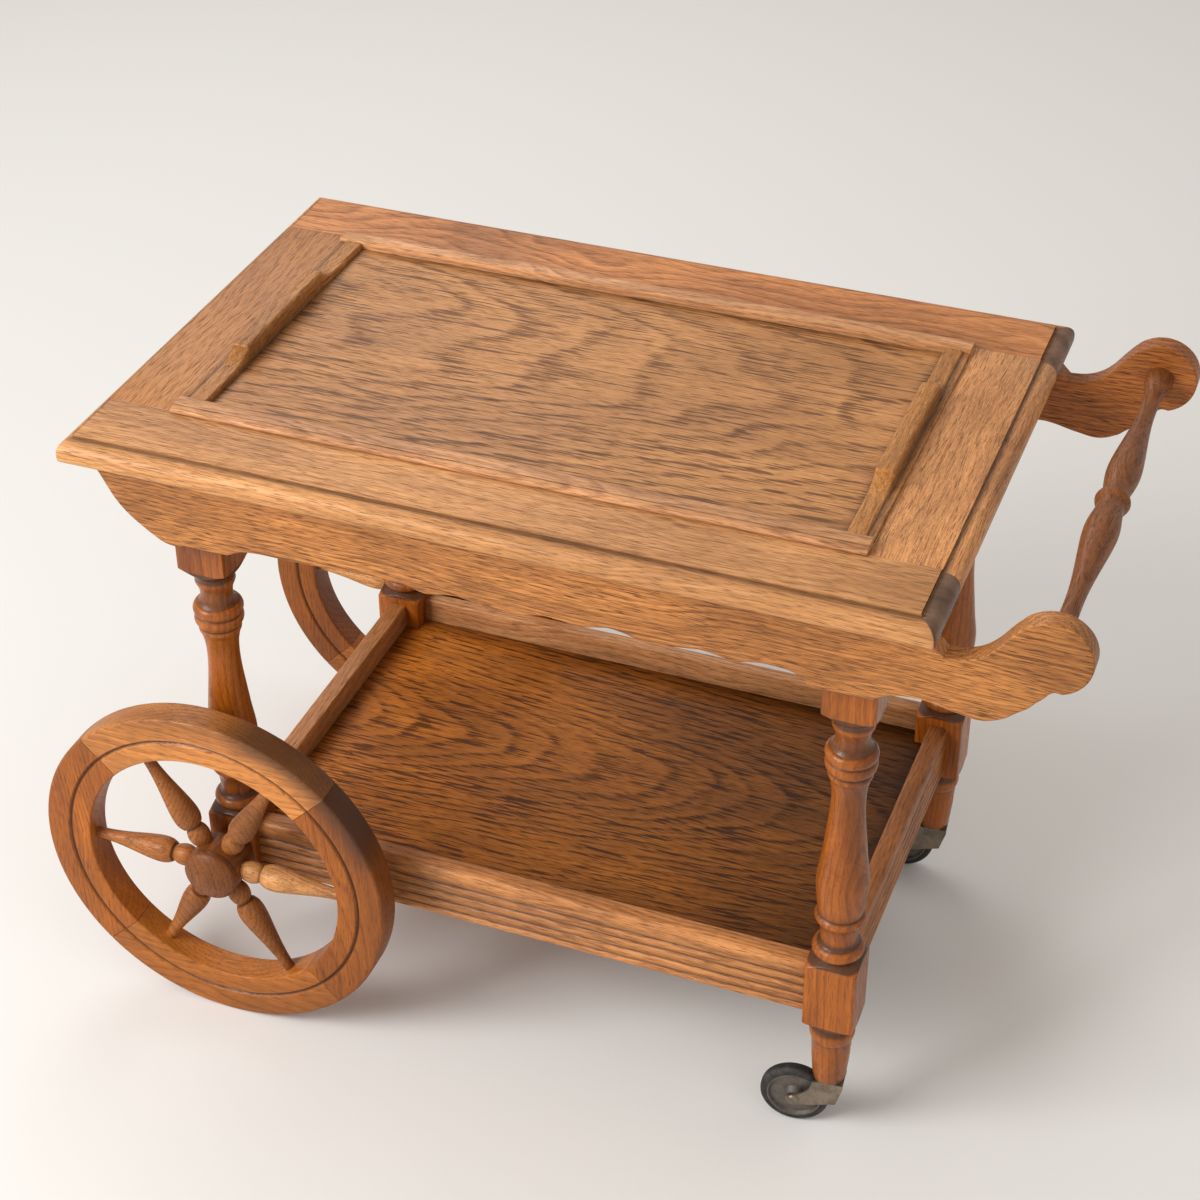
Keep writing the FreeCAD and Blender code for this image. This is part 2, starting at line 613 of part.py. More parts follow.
def leg(label, end, side):
    """end is -1 at the spoked wheels and 1 at the casters; side is -1 at the front."""
    piece = newBody(label)
    base = lowerFoot if end < 0 else footEnd
    block(piece, -legHalf, legHalf, -legHalf, legHalf, base, underTop)
    turn(piece, turnedLength, upperFoot, turnedShares)
    if end > 0:
        turn(piece, footLength, lowerFoot, footShares, s.overrun)
    near = legHalf - s.tenonLength - s.fitClearance
    far = legHalf + s.overrun
    # shelf rail along X, flush inset from the leg's outer face, on the side towards the other leg
    wallLow = legHalf - s.shelfRailInset - (s.shelfRailThickness + s.tenonWidth) / 2 - s.fitClearance
    wallHigh = wallLow + s.tenonWidth + s.fitClearance * 2
    spanX = (near, far) if end < 0 else (-far, -near)
    spanY = (wallLow, wallHigh) if side > 0 else (-wallHigh, -wallLow)
    mortiseFoot = shelfFoot + s.tenonShoulder - s.fitClearance
    mortiseHead = shelfTop - s.tenonShoulder + s.fitClearance
    block(piece, spanX[0], spanX[1], spanY[0], spanY[1], mortiseFoot, mortiseHead, cut=True)
    # end rails along Y, on the leg's middle
    spanY = (near, far) if side < 0 else (-far, -near)
    halfTenon = s.tenonWidth / 2 + s.fitClearance
    block(piece, -halfTenon, halfTenon, spanY[0], spanY[1], mortiseFoot, mortiseHead, cut=True)
    halfTenon = s.apronTenonWidth / 2 + s.fitClearance
    block(
        piece, -halfTenon, halfTenon, spanY[0], spanY[1],
        underTop - s.apronHeight + s.tenonShoulder - s.fitClearance,
        underTop - s.tenonShoulder + s.fitClearance, cut=True,
    )
    # holes for the two screws into the side board
    for level in screwLevels:
        hole = newSketch(piece, "XZ_Plane", -(legHalf + s.overrun))
        circle(hole, screwOffset, level, s.screwRadius + s.fitClearance)
        extrude(piece, hole, s.legWidth + s.overrun * 2, cut=True)
    # the stub axle's hole, or the caster's socket
    if end < 0:
        start = legHalf - s.axleDepth - s.fitClearance if side < 0 else -(legHalf + s.overrun)
        bore = newSketch(piece, "XZ_Plane", start)
        circle(bore, zero, axleZ, s.axleRadius + s.fitClearance)
        extrude(piece, bore, s.axleDepth + s.fitClearance + s.overrun, cut=True)
    else:
        bore = newSketch(piece, "XY_Plane", footEnd - s.overrun)
        circle(bore, zero, zero, s.socketRadius + s.fitClearance)
        extrude(piece, bore, s.overrun + s.stemLength + s.socketFlange + s.fitClearance, cut=True)
    legX = -wheelLegX if end < 0 else casterLegX
    place(piece, legX - middle, legY if side > 0 else -legY, zero)
    pieces.append(piece)


for label, end, side in (
    ("leg_front_left", -1, -1), ("leg_back_left", -1, 1),
    ("leg_front_right", 1, -1), ("leg_back_right", 1, 1),
):
    leg(label, end, side)

# End aprons, between the legs under the top.
for label, legX in (("end_apron_left", -wheelLegX), ("end_apron_right", casterLegX)):
    apron = newBody(label)
    thick = s.apronThickness / 2
    reach = legY - legHalf
    block(apron, -thick, thick, -reach, reach, underTop - s.apronHeight, underTop)
    tenon = s.apronTenonWidth / 2
    block(
        apron, -tenon, tenon, -(reach + s.tenonLength), reach + s.tenonLength,
        underTop - s.apronHeight + s.tenonShoulder, underTop - s.tenonShoulder,
    )
    place(apron, legX - middle, zero, zero)
    pieces.append(apron)

# Shelf rails. The reeds on the outer faces, from the top down: shares of the rail's height.
reedShares = (0.42, 0.56, 0.76, 0.88)
# The rails' inner edges are eased by this share of the reeded rails' outer round.
plainShare = 0.2
tenonFoot = shelfFoot + s.tenonShoulder
tenonHead = shelfTop - s.tenonShoulder
shelfPanelTop = shelfTop - s.shelfPanelDrop
shelfTongueZ = shelfPanelTop - s.shelfPanelThickness


def railOutline(outer, inward, reeded, grooved=True):
    """The rail's section: rounded top, reeds outside, the panel's groove inside."""
    thick = float(s.shelfRailThickness)
    inner = outer + inward * thick
    top = float(shelfTop)
    foot = float(shelfFoot)
    ease = float(s.shelfRailRound) * plainShare
    radius = float(s.shelfRailRound) if reeded else ease
    chamfer = 1 - math.sqrt(0.5)
    slotTop = float(shelfTongueZ + s.shelfTongueThickness + s.fitClearance)
    slotFoot = float(shelfTongueZ - s.fitClearance)
    back = inner - inward * float(grooveDepth)
    runs = [[(inner - inward * ease * chamfer, top - ease * chamfer), (inner - inward * ease, top)]]
    runs += [[(outer + inward * radius, top)]]
    runs += [[(outer + inward * radius * chamfer, top - radius * chamfer), (outer, top - radius)]]
    if reeded:
        for share in reedShares:
            level = top - float(s.shelfRailHeight) * share
            half = float(s.reedWidth) / 2
            runs += [[(outer, level + half)], [(outer + inward * float(s.reedDepth), level)]]
            runs += [[(outer, level - half)]]
    runs += [[(outer, foot)], [(inner, foot)]]
    runs += [[(inner, slotFoot)], [(back, slotFoot)], [(back, slotTop)], [(inner, slotTop)]]
    return (inner, top - ease), runs


for label, side in (("shelf_rail_front", -1), ("shelf_rail_back", 1)):
    rail = newBody(label)
    start, runs = railOutline(side * float(shelfRailOuter), -side, True)
    low = -(wheelLegX - legHalf)
    high = casterLegX - legHalf
    sketch = newSketch(rail, "YZ_Plane", low)
    trace(sketch, start, runs)
    extrude(rail, sketch, high - low)
    near = shelfRailOuter - (s.shelfRailThickness + s.tenonWidth) / 2
    far = near + s.tenonWidth
    spanY = (near, far) if side > 0 else (-far, -near)
    for spanX in ((low - s.tenonLength, low), (high, high + s.tenonLength)):
        block(rail, spanX[0], spanX[1], spanY[0], spanY[1], tenonFoot, tenonHead)
    place(rail, -middle, zero, zero)
    pieces.append(rail)

for label, end, reeded in (("shelf_rail_left", -1, False), ("shelf_rail_right", 1, True)):
    rail = newBody(label)
    start, runs = railOutline(end * float(s.shelfRailThickness / 2), -end, reeded)
    reach = legY - legHalf
    sketch = newSketch(rail, "XZ_Plane", -reach)
    trace(sketch, start, runs)
    extrude(rail, sketch, reach * 2)
    tenon = s.tenonWidth / 2
    for spanY in ((-(reach + s.tenonLength), -reach), (reach, reach + s.tenonLength)):
        block(rail, -tenon, tenon, spanY[0], spanY[1], tenonFoot, tenonHead)
    place(rail, (-wheelLegX if end < 0 else casterLegX) - middle, zero, zero)
    pieces.append(rail)

# Shelf panel: its field shows inside the rails, its tongue runs in their grooves, and its
# corners are cut round the legs.
shelfPanel = newBody("shelf_panel")
leftInner = -wheelLegX + s.shelfRailThickness / 2
rightInner = casterLegX - s.shelfRailThickness / 2
gap = s.sideClearance
block(
    shelfPanel, leftInner + gap, rightInner - gap, -(shelfRailInner - gap), shelfRailInner - gap,
    shelfTongueZ, shelfPanelTop,
)
block(
    shelfPanel, leftInner - s.panelTongue, rightInner + s.panelTongue,
    -(shelfRailInner + s.panelTongue), shelfRailInner + s.panelTongue,
    shelfTongueZ, shelfTongueZ + s.shelfTongueThickness,
)
for spanX in (
    (-wheelLegX - legHalf, -wheelLegX + legHalf + gap), (casterLegX - legHalf - gap, casterLegX + legHalf),
):
    nearY = legY - legHalf - gap
    farY = legY + legHalf
    for spanY in ((nearY, farY), (-farY, -nearY)):
        block(
            shelfPanel, spanX[0], spanX[1], spanY[0], spanY[1],
            shelfTongueZ - s.overrun, shelfPanelTop + s.overrun, cut=True,
        )
place(shelfPanel, -middle, zero, zero)
pieces.append(shelfPanel)

# Spoked wheels. Each is made about the Y axis with its hub cap towards -Y, then placed.
felloeInner = s.wheelRadius - s.felloeDepth
rimHalf = s.rimThickness / 2
spokeCount = 6
felloeCount = 4
# shares of the spoke's shown length, hub to felloe, and of the swell's radius
spokeShares = [
    [(0.0, 0.63)], [(0.095, 0.81), (0.180, 0.62)], [(0.205, 0.62)],
    [(0.245, 0.83), (0.313, 1.00), (0.408, 0.955), (0.550, 0.785), (0.787, 0.51), (0.958, 0.415),
     (1.0, 0.41)],
]


def wheelPlacement(side, angle=0):
    spin = Rotation(Vector(0, 0, 1), 0 if side < 0 else 180)
    return spin * Rotation(Vector(0, 1, 0), angle)


def placeOnWheel(piece, side, angle=0):
    level = rimMiddle if side > 0 else -rimMiddle
    place(piece, -wheelLegX - middle, level, axleZ, wheelPlacement(side, angle))
    pieces.append(piece)


def felloe(label, side, first, span):
    piece = newBody(label)
    inner = float(felloeInner)
    outer = float(s.wheelRadius)
    half = float(rimHalf)
    radius = float(s.rimRound)
    bevel = radius * (1 - math.sqrt(0.5))
    groove = outer - float(s.rimGrooveInset)
    width = float(s.rimGrooveWidth) / 2
    depth = float(s.rimGrooveDepth)
    ease = radius / 2
    sketch = newSketch(piece, "XY_Plane")
    trace(
        sketch, (inner, -half + ease),
        [
            [(inner + ease, -half)], [(groove - width, -half)],
            [(groove, -half + depth), (groove + width, -half)],
            [(outer - radius, -half)], [(outer - bevel, -half + bevel), (outer, -half + radius)],
            [(outer, half - radius)], [(outer - bevel, half - bevel), (outer - radius, half)],
            [(groove + width, half)], [(groove, half - depth), (groove - width, half)],
            [(inner + ease, half)], [(inner, half - ease)],
        ],
    )
    revolve(piece, sketch, "V_Axis", span)
    for index in range(spokeCount):
        angle = index * 360 / spokeCount - first
        angle = angle % 360
        if not 0 < angle < span:
            continue
        hole = newSketch(piece, "XY_Plane", turn=Rotation(Vector(0, 1, 0), angle))
        rectangle(
            hole, felloeInner - s.overrun, felloeInner + s.spokeTenonLength + s.fitClearance,
            zero, s.spokeTenonRadius + s.fitClearance,
        )
        revolve(piece, hole, "H_Axis", cut=True)
    placeOnWheel(piece, side, first)


def spoke(label, side, angle):
    piece = newBody(label)
    start = float(s.hubRadius)
    length = float(felloeInner - s.hubRadius)
    swell = float(s.spokeSwell)
    hubEnd = start - float(s.spokeTenonLength)
    rimEnd = start + length + float(s.spokeTenonLength)
    hubPeg = float(s.hubTenonRadius)
    rimPeg = float(s.spokeTenonRadius)
    sketch = newSketch(piece, "XY_Plane")
    runs = [[(start + length * u, swell * v) for u, v in run] for run in spokeShares]
    trace(
        sketch, (hubEnd, 0.0),
        [[(hubEnd, hubPeg)], [(start, hubPeg)]] + runs
        + [[(start + length, rimPeg)], [(rimEnd, rimPeg)], [(rimEnd, 0.0)]],
    )
    revolve(piece, sketch, "H_Axis")
    placeOnWheel(piece, side, angle)


# The hub's shoulder: its bevel as a share of the step down to the neck, and the neck's own
# length past it as a share of the bevel.
shoulderShares = (0.3, 1.4)


def hub(label, side):
    piece = newBody(label)
    outer = -float(hubOuterFace - rimMiddle)
    inner = float(rimMiddle - hubInnerFace)
    broad = float(s.hubRadius)
    neck = float(s.hubNeckRadius)
    bore = float(s.axleRadius + s.runningClearance)
    step = float(rimHalf)
    bevel = (broad - neck) * shoulderShares[0]
    sketch = newSketch(piece, "XY_Plane")
    trace(
        sketch, (bore, outer),
        [
            [(broad, outer)], [(broad, step)],
            [(broad - bevel, step + bevel), (neck, step + bevel * shoulderShares[1])],
            [(neck, inner)], [(bore, inner)],
        ],
    )
    revolve(piece, sketch, "V_Axis")
    hole = newSketch(piece, "XY_Plane")
    rectangle(
        hole, s.hubRadius - s.spokeTenonLength - s.fitClearance, s.hubRadius + s.overrun,
        zero, s.hubTenonRadius + s.fitClearance,
    )
    groove = revolve(piece, hole, "H_Axis", cut=True)
    ring = piece.newObject("PartDesign::PolarPattern", label + "_ring")
    ring.Originals = [groove]
    ring.Axis = (originPart(piece, "Y_Axis"), [""])
    ring.Angle = 360
    ring.Occurrences = spokeCount
    piece.Tip = ring
    doc.recompute()
    placeOnWheel(piece, side)


# Hub cap: shares of its height from the hub outwards and of the hub's radius.
capShares = [
    [(0.12, 1.0)],
    [(0.24, 0.985), (0.44, 0.915), (0.62, 0.80), (0.78, 0.63), (0.90, 0.43), (0.97, 0.25), (1.0, 0.10)],
]


def hubCap(label, side):
    piece = newBody(label)
    base = -float(hubOuterFace - rimMiddle)
    height = float(s.hubCapThickness)
    radius = float(s.hubRadius)
    hollow = float(s.hubCapHollow)
    roof = base - height + float(s.hubCapWall)
    runs = [[(radius * r, base - height * h) for h, r in run] for run in capShares]
    sketch = newSketch(piece, "XY_Plane")
    crown = base - height
    inside = [[(0.0, crown)], [(0.0, roof)], [(hollow, roof)]]
    trace(sketch, (hollow, base), [[(radius, base)]] + runs + inside)
    revolve(piece, sketch, "V_Axis")
    placeOnWheel(piece, side)


for name, side in (("front", -1), ("back", 1)):
    for index in range(felloeCount):
        span = 360 / felloeCount
        felloe(f"{name}_felloe_{index + 1}", side, (index - 0.5) * span, span)
    for index in range(spokeCount):
        spoke(f"{name}_spoke_{index + 1}", side, index * 360 / spokeCount)
    hub(name + "_hub", side)
    hubCap(name + "_hub_cap", side)


def group(label, solids):
    piece = doc.addObject("Part::Feature", label)
    piece.Label = label
    piece.Shape = Part.makeCompound(solids)
    pieces.append(piece)


# Stub axles: each runs from its leg's block through the hub, with a collar between them.
axleX = float(-wheelLegX - middle)
boltEnd = float(hubOuterFace + s.hubCapThickness - s.hubCapWall - s.sideClearance * 2)
bolts = []
nuts = []
for side in (-1, 1):
    out = Vector(0, side, 0)
    start = float(boardInner - s.axleDepth)
    level = float(axleZ)
    shaft = Part.makeCylinder(
        float(s.axleRadius), boltEnd - start, Vector(axleX, side * start, level), out,
    )
    collarStart = float(boardInner)
    collarEnd = float(hubInnerFace - s.sideClearance)
    collar = Part.makeCylinder(
        float(s.axleCollarRadius), collarEnd - collarStart, Vector(axleX, side * collarStart, level), out,
    )
    bolts.append(shaft.fuse(collar).removeSplitter())
    corner = float(s.nutAcross) / math.sqrt(3)
    nutStart = float(hubOuterFace + s.sideClearance)
    ring = []
    for i in range(7):
        angle = math.radians(60 * i)
        ring.append(
            Vector(axleX + corner * math.cos(angle), side * nutStart, level + corner * math.sin(angle))
        )
    nut = Part.Face(Part.makePolygon(ring)).extrude(out * float(s.nutThickness))
    hole = Part.makeCylinder(
        float(s.axleRadius), float(s.nutThickness + s.overrun * 2),
        Vector(axleX, side * (nutStart - float(s.overrun)), level), out,
    )
    nuts.append(nut.cut(hole))
group("axle_bolts", bolts)
group("axle_nuts", nuts)

# Wood screws from inside the legs into the side boards.
screws = []
for side in (-1, 1):
    for legX in (-wheelLegX, casterLegX):
        for level in screwLevels:
            headFace = float(legY - legHalf)
            at = Vector(float(legX + screwOffset - middle), side * headFace, float(level))
            out = Vector(0, side, 0)
            shank = Part.makeCylinder(float(s.screwRadius), float(s.legWidth + s.screwBite), at, out)
            head = Part.makeCylinder(float(s.screwHeadRadius), float(s.screwHead), at, -out)
            screws.append(shank.fuse(head).removeSplitter())
group("screws", screws)

# Swivel casters, made about the stem's axis with the wheel trailing towards -X, then turned.
flangeFoot = footEnd - s.socketFlange
plateTop = flangeFoot - s.sideClearance
plateFoot = plateTop - s.forkGauge
cheekInner = s.casterWidth / 2 + s.forkCheekGap
cheekOuter = cheekInner + s.forkGauge
discRadius = s.casterRadius - s.tyreThickness


def placeCaster(piece, side):
    place(
        piece, casterLegX - middle, legY if side > 0 else -legY, zero,
        Rotation(Vector(0, 0, 1), sizes["casterTurn"]),
    )
    pieces.append(piece)


def casterSocket(label, side):
    piece = newBody(label)
    bore = float(s.stemRadius + s.runningClearance)
    tube = float(s.socketRadius)
    rim = float(s.socketFlangeRadius)
    low = float(flangeFoot)
    face = float(footEnd)
    head = face + float(s.stemLength)
    sketch = newSketch(piece, "XZ_Plane")
    runs = [[(rim, low)], [(rim, face)], [(tube, face)], [(tube, head)], [(bore, head)]]
    trace(sketch, (bore, low), runs)
    revolve(piece, sketch, "V_Axis")
    placeCaster(piece, side)


# The cheeks' edge: the hollow of the back edge as shares of its run down to the rivet, the
# round about the rivet as shares of the cheek's radius, and the front edge's foot as shares of
# the plate's reach before the stem and of the height from the rivet up to the plate.
hollowShares = (0.22, 0.55)
roundAboveShares = (0.8, 0.6)
roundBelowShares = (0.9, 0.5)
frontShares = (0.6, 0.12)


def fork(label, side):
    piece = newBody(label)
    block(piece, -s.forkPlateBack, s.forkPlateFront, -cheekOuter, cheekOuter, plateFoot, plateTop)
    stem = newSketch(piece, "XY_Plane", plateTop)
    circle(stem, zero, zero, s.stemRadius)
    extrude(piece, stem, s.stemLength - s.stemGap)
    wheelX = -float(s.casterTrail)
    wheelZ = float(s.casterRadius)
    radius = float(s.forkCheekRadius)
    front = float(s.forkPlateFront)
    back = -float(s.forkCheekBack)
    level = float(plateTop)
    gauge = float(s.forkGauge)
    for face in (cheekOuter, -cheekInner):
        cheek = newSketch(piece, "XZ_Plane", -face)
        above = (wheelX - radius * roundAboveShares[0], wheelZ + radius * roundAboveShares[1])
        run = back - above[0]
        fall = level - gauge - above[1]
        trace(
            cheek, (back, level),
            [
                [(back, level - gauge)],
                [(back - run * hollowShares[0], level - gauge - fall * hollowShares[1]), above],
                [(wheelX - radius * roundBelowShares[0], wheelZ - radius * roundBelowShares[1]),
                 (wheelX, wheelZ - radius)],
                [(front * frontShares[0], wheelZ + (level - wheelZ) * frontShares[1])],
                [(front, level - gauge * 2)], [(front, level)],
            ],
        )
        extrude(piece, cheek, s.forkGauge)
    hole = newSketch(piece, "XZ_Plane", -(cheekOuter + s.overrun))
    circle(hole, -s.casterTrail, s.casterRadius, s.rivetRadius)
    extrude(piece, hole, (cheekOuter + s.overrun) * 2, cut=True)
    placeCaster(piece, side)


def aboutRivet(label, outline, side):
    """Turn an outline of (radius, height along the rivet) about the rivet's axis."""
    piece = newBody(label)
    sketch = newSketch(piece, "XY_Plane")
    trace(sketch, outline[0], outline[1])
    revolve(piece, sketch, "V_Axis")
    angle = sizes["casterTurn"]
    swing = Rotation(Vector(0, 0, 1), angle)
    along = math.cos(math.radians(angle))
    across = math.sin(math.radians(angle))
    place(
        piece, casterLegX - middle - s.casterTrail * along,
        (legY if side > 0 else -legY) - s.casterTrail * across, s.casterRadius, swing,
    )
    pieces.append(piece)


halfWidth = float(s.casterWidth / 2)
disc = float(discRadius)
tread = float(s.casterRadius)
bore = float(s.rivetRadius + s.runningClearance)
dish = float(s.discDish)
hubFace = float(cheekInner - s.sideClearance)
boss = float(s.forkCheekRadius)
wheelOutline = (
    (bore, -hubFace),
    [
        [(boss, -hubFace)], [(boss + dish, -halfWidth + dish)], [(disc - dish, -halfWidth + dish)],
        [(disc - dish / 2, -halfWidth)], [(disc, -halfWidth)], [(disc, halfWidth)],
        [(disc - dish / 2, halfWidth)], [(disc - dish, halfWidth - dish)],
        [(boss + dish, halfWidth - dish)], [(boss, hubFace)], [(bore, hubFace)],
    ],
)
# The tyre's round: shares of half its width to the bend and to the tread's flat, and of the
# dish in from the tread at the bend.
tyreShares = (0.72, 0.31, 0.34)
bendY = halfWidth * tyreShares[0]
flatY = halfWidth * tyreShares[1]
bendRadius = tread - dish * tyreShares[2]
tyreOutline = (
    (disc, -halfWidth),
    [
        [(disc + dish, -halfWidth)], [(bendRadius, -bendY), (tread, -flatY)], [(tread, flatY)],
        [(bendRadius, bendY), (disc + dish, halfWidth)], [(disc, halfWidth)],
    ],
)
shaft = float(s.rivetRadius)
headRadius = float(s.rivetHead)
headFace = float(cheekOuter)
# The rivet's heads: the dome's height as a share of the shaft's radius, its flat and its bend
# as shares of the head's radius, and the bend's height as a share of the dome's.
domeShare = 0.7
headShares = (0.3, 0.8)
bendShare = 0.65
dome = shaft * domeShare
crown = headRadius * headShares[0]
bendRadius = headRadius * headShares[1]
bendY = headFace + dome * bendShare
rivetOutline = (
    (0.0, -headFace - dome),
    [
        [(crown, -headFace - dome)], [(bendRadius, -bendY), (headRadius, -headFace)],
        [(shaft, -headFace)], [(shaft, headFace)], [(headRadius, headFace)],
        [(bendRadius, bendY), (crown, headFace + dome)], [(0.0, headFace + dome)],
    ],
)
for name, side in (("front", -1), ("back", 1)):
    casterSocket("caster_socket_" + name, side)
    fork("caster_fork_" + name, side)
    aboutRivet("caster_wheel_" + name, wheelOutline, side)
    aboutRivet("caster_tyre_" + name, tyreOutline, side)
    aboutRivet("caster_rivet_" + name, rivetOutline, side)

doc.recompute()
for item in doc.Objects:
    if "Invalid" in item.State or "Error" in item.State:
        raise ValueError(item.Label + " failed: " + str(item.State))
for piece in pieces:
    if piece.Shape.isNull() or not piece.Shape.isValid() or not piece.Shape.Solids:
        raise ValueError("no sound shape for " + piece.Label)
    piece.Shape.exportStep("parts/" + piece.Label + ".step")
    box = piece.Shape.BoundBox
    print(
        f"{piece.Label:22s} solids {len(piece.Shape.Solids)} x {box.XMin:8.2f} {box.XMax:8.2f}"
        f" y {box.YMin:8.2f} {box.YMax:8.2f} z {box.ZMin:8.2f} {box.ZMax:8.2f}"
    )
print(len(pieces), "pieces")
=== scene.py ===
import math
import bpy
import numpy as np
from mathutils import Matrix, Vector


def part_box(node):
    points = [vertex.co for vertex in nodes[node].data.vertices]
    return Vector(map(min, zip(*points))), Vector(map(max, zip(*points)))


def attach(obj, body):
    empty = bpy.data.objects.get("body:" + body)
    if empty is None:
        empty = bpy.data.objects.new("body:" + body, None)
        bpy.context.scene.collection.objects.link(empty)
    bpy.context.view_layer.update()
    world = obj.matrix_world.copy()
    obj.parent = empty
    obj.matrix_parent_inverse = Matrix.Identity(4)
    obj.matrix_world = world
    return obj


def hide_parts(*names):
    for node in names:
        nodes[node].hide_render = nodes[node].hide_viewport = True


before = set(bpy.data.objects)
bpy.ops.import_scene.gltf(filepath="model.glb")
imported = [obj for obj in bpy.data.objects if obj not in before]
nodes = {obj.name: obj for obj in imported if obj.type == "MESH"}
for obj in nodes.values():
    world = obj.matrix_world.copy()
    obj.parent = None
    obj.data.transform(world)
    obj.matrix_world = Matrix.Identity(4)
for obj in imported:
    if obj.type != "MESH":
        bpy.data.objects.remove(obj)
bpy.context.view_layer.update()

# Oak serving trolley. Lengths are in metres, in the frame's own axes.
print("frame loaded:", len(nodes), "nodes")

# The camera stands where the photograph was taken from.
view = {
    "place": (0.67484, -1.77861, 1.76509),
    "forward": (-0.29302904, 0.75984802, -0.58031454),
    "right": (0.93409909, 0.35698867, -0.00424084),
    "lens": 73.85,
    "shift": (0.0019, -0.0028),
}


def makeCamera():
    data = bpy.data.cameras.new("camera")
    camera = bpy.data.objects.new("camera", data)
    bpy.context.scene.collection.objects.link(camera)
    forward = Vector(view["forward"]).normalized()
    right = Vector(view["right"]).normalized()
    up = right.cross(forward)
    turn = Matrix((right, up, -forward)).transposed().to_4x4()
    camera.matrix_world = Matrix.Translation(view["place"]) @ turn
    data.lens = view["lens"]
    data.sensor_width = 36
    data.shift_x, data.shift_y = view["shift"]
    bpy.context.scene.camera = camera


# Light: one broad lamp high on the left, a weak fill on the right, a pale world.
light = {
    "lamps": [
        {"name": "keyLamp", "at": (-2.1, -2.3, 2.35), "size": 1.9, "power": 120},
        {"name": "fillLamp", "at": (2.2, -1.8, 1.6), "size": 2.0, "power": 6},
        {"name": "rimLamp", "at": (-1.4, 1.9, 2.4), "size": 1.6, "power": 15},
    ],
    "aim": (0, 0, 0.35),
    "world": 0.58,
    "sky": (1.0, 0.96, 0.91, 1),
    "backdrop": (0.86, 0.85, 0.83, 1),
    "floor": (0.80, 0.785, 0.76, 1),
    "floorHalf": 30,
}


def makeLight():
    for lamp in light["lamps"]:
        data = bpy.data.lights.new(lamp["name"], "AREA")
        data.energy = lamp["power"]
        data.size = lamp["size"]
        thing = bpy.data.objects.new(lamp["name"], data)
        bpy.context.scene.collection.objects.link(thing)
        thing.location = lamp["at"]
        aim = Vector(light["aim"]) - Vector(lamp["at"])
        thing.rotation_euler = aim.to_track_quat("-Z", "Y").to_euler()
    world = bpy.data.worlds.new("world")
    bpy.context.scene.world = world
    world.use_nodes = True
    tree = world.node_tree
    shade = tree.nodes["Background"]
    shade.inputs["Color"].default_value = light["sky"]
    shade.inputs["Strength"].default_value = light["world"]
    seen = tree.nodes.new("ShaderNodeBackground")
    seen.inputs["Color"].default_value = light["backdrop"]
    path = tree.nodes.new("ShaderNodeLightPath")
    mix = tree.nodes.new("ShaderNodeMixShader")
    tree.links.new(path.outputs["Is Camera Ray"], mix.inputs[0])
    tree.links.new(shade.outputs[0], mix.inputs[1])
    tree.links.new(seen.outputs[0], mix.inputs[2])
    tree.links.new(mix.outputs[0], tree.nodes["World Output"].inputs["Surface"])


# A small helper for a material's nodes, so that each stays one line.
class Shade:
    def __init__(self, name):
        self.material = bpy.data.materials.new(name)
        self.material.use_nodes = True
        self.tree = self.material.node_tree
        self.shader = self.tree.nodes["Principled BSDF"]

    def add(self, kind, settings=None, **inputs):
        made = self.tree.nodes.new("ShaderNode" + kind)
        for key, value in (settings or {}).items():
            setattr(made, key, value)
        # a keyword names the socket; i0, i1 and so on count them
        for key, value in inputs.items():
            counted = key[0] == "i" and key[1:].isdigit()
            self.feed(made.inputs[int(key[1:]) if counted else key], value)
        return made

    def feed(self, socket, value):
        if isinstance(value, bpy.types.NodeSocket):
            self.tree.links.new(value, socket)
        else:
            socket.default_value = value

    def maths(self, operation, first, second=0.0, clamp=False):
        made = self.add("Math", {"operation": operation, "use_clamp": clamp}, i0=first, i1=second)
        return made.outputs[0]

    def plus(self, first, second, clamp=False):
        return self.maths("ADD", first, second, clamp)

    def minus(self, first, second):
        return self.maths("SUBTRACT", first, second)

    def times(self, first, second, clamp=False):
        return self.maths("MULTIPLY", first, second, clamp)

    def stretch(self, space, scale, shift=(0, 0, 0), turn=(0, 0, 0)):
        made = self.add("Mapping", None, Vector=space, Scale=scale, Location=shift, Rotation=turn)
        return made.outputs[0]

    def noise(self, space, scale, detail, roughness=0.55, distortion=0.0, **placed):
        made = self.add("TexNoise", None, Vector=self.stretch(space, scale, **placed), Scale=1.0,
                        Detail=detail, Roughness=roughness, Distortion=distortion)
        return made.outputs["Fac"]

    def ramp(self, factor, stops):
        made = self.add("ValToRGB", None, Fac=factor)
        made.color_ramp.interpolation = "EASE"
        elements = made.color_ramp.elements
        while len(elements) < len(stops):
            elements.new(0.5)
        for element, (place, colour) in zip(elements, stops):
            element.position = place
            element.color = (colour if isinstance(colour, tuple) else (colour,) * 3) + (1,)
        return made.outputs[0]

    def mix(self, factor, first, second, blend="MIX"):
        made = self.add("Mix", {"data_type": "RGBA", "blend_type": blend})
        self.feed(made.inputs[0], factor)
        self.feed(made.inputs[6], first)
        self.feed(made.inputs[7], second)
        return made.outputs[2]

    def scaled(self, value, middle, share, base=None):
        # (value - middle) times share, plus the base where there is one
        made = self.times(self.minus(value, middle), share)
        return made if base is None else self.plus(made, base)

    def paint(self, values):
        for key, value in values.items():
            self.feed(self.shader.inputs[key], value)

    def roughen(self, height, strength, deep):
        made = self.add("Bump", None, Height=height, Strength=strength, Distance=deep)
        self.paint({"Normal": made.outputs[0]})


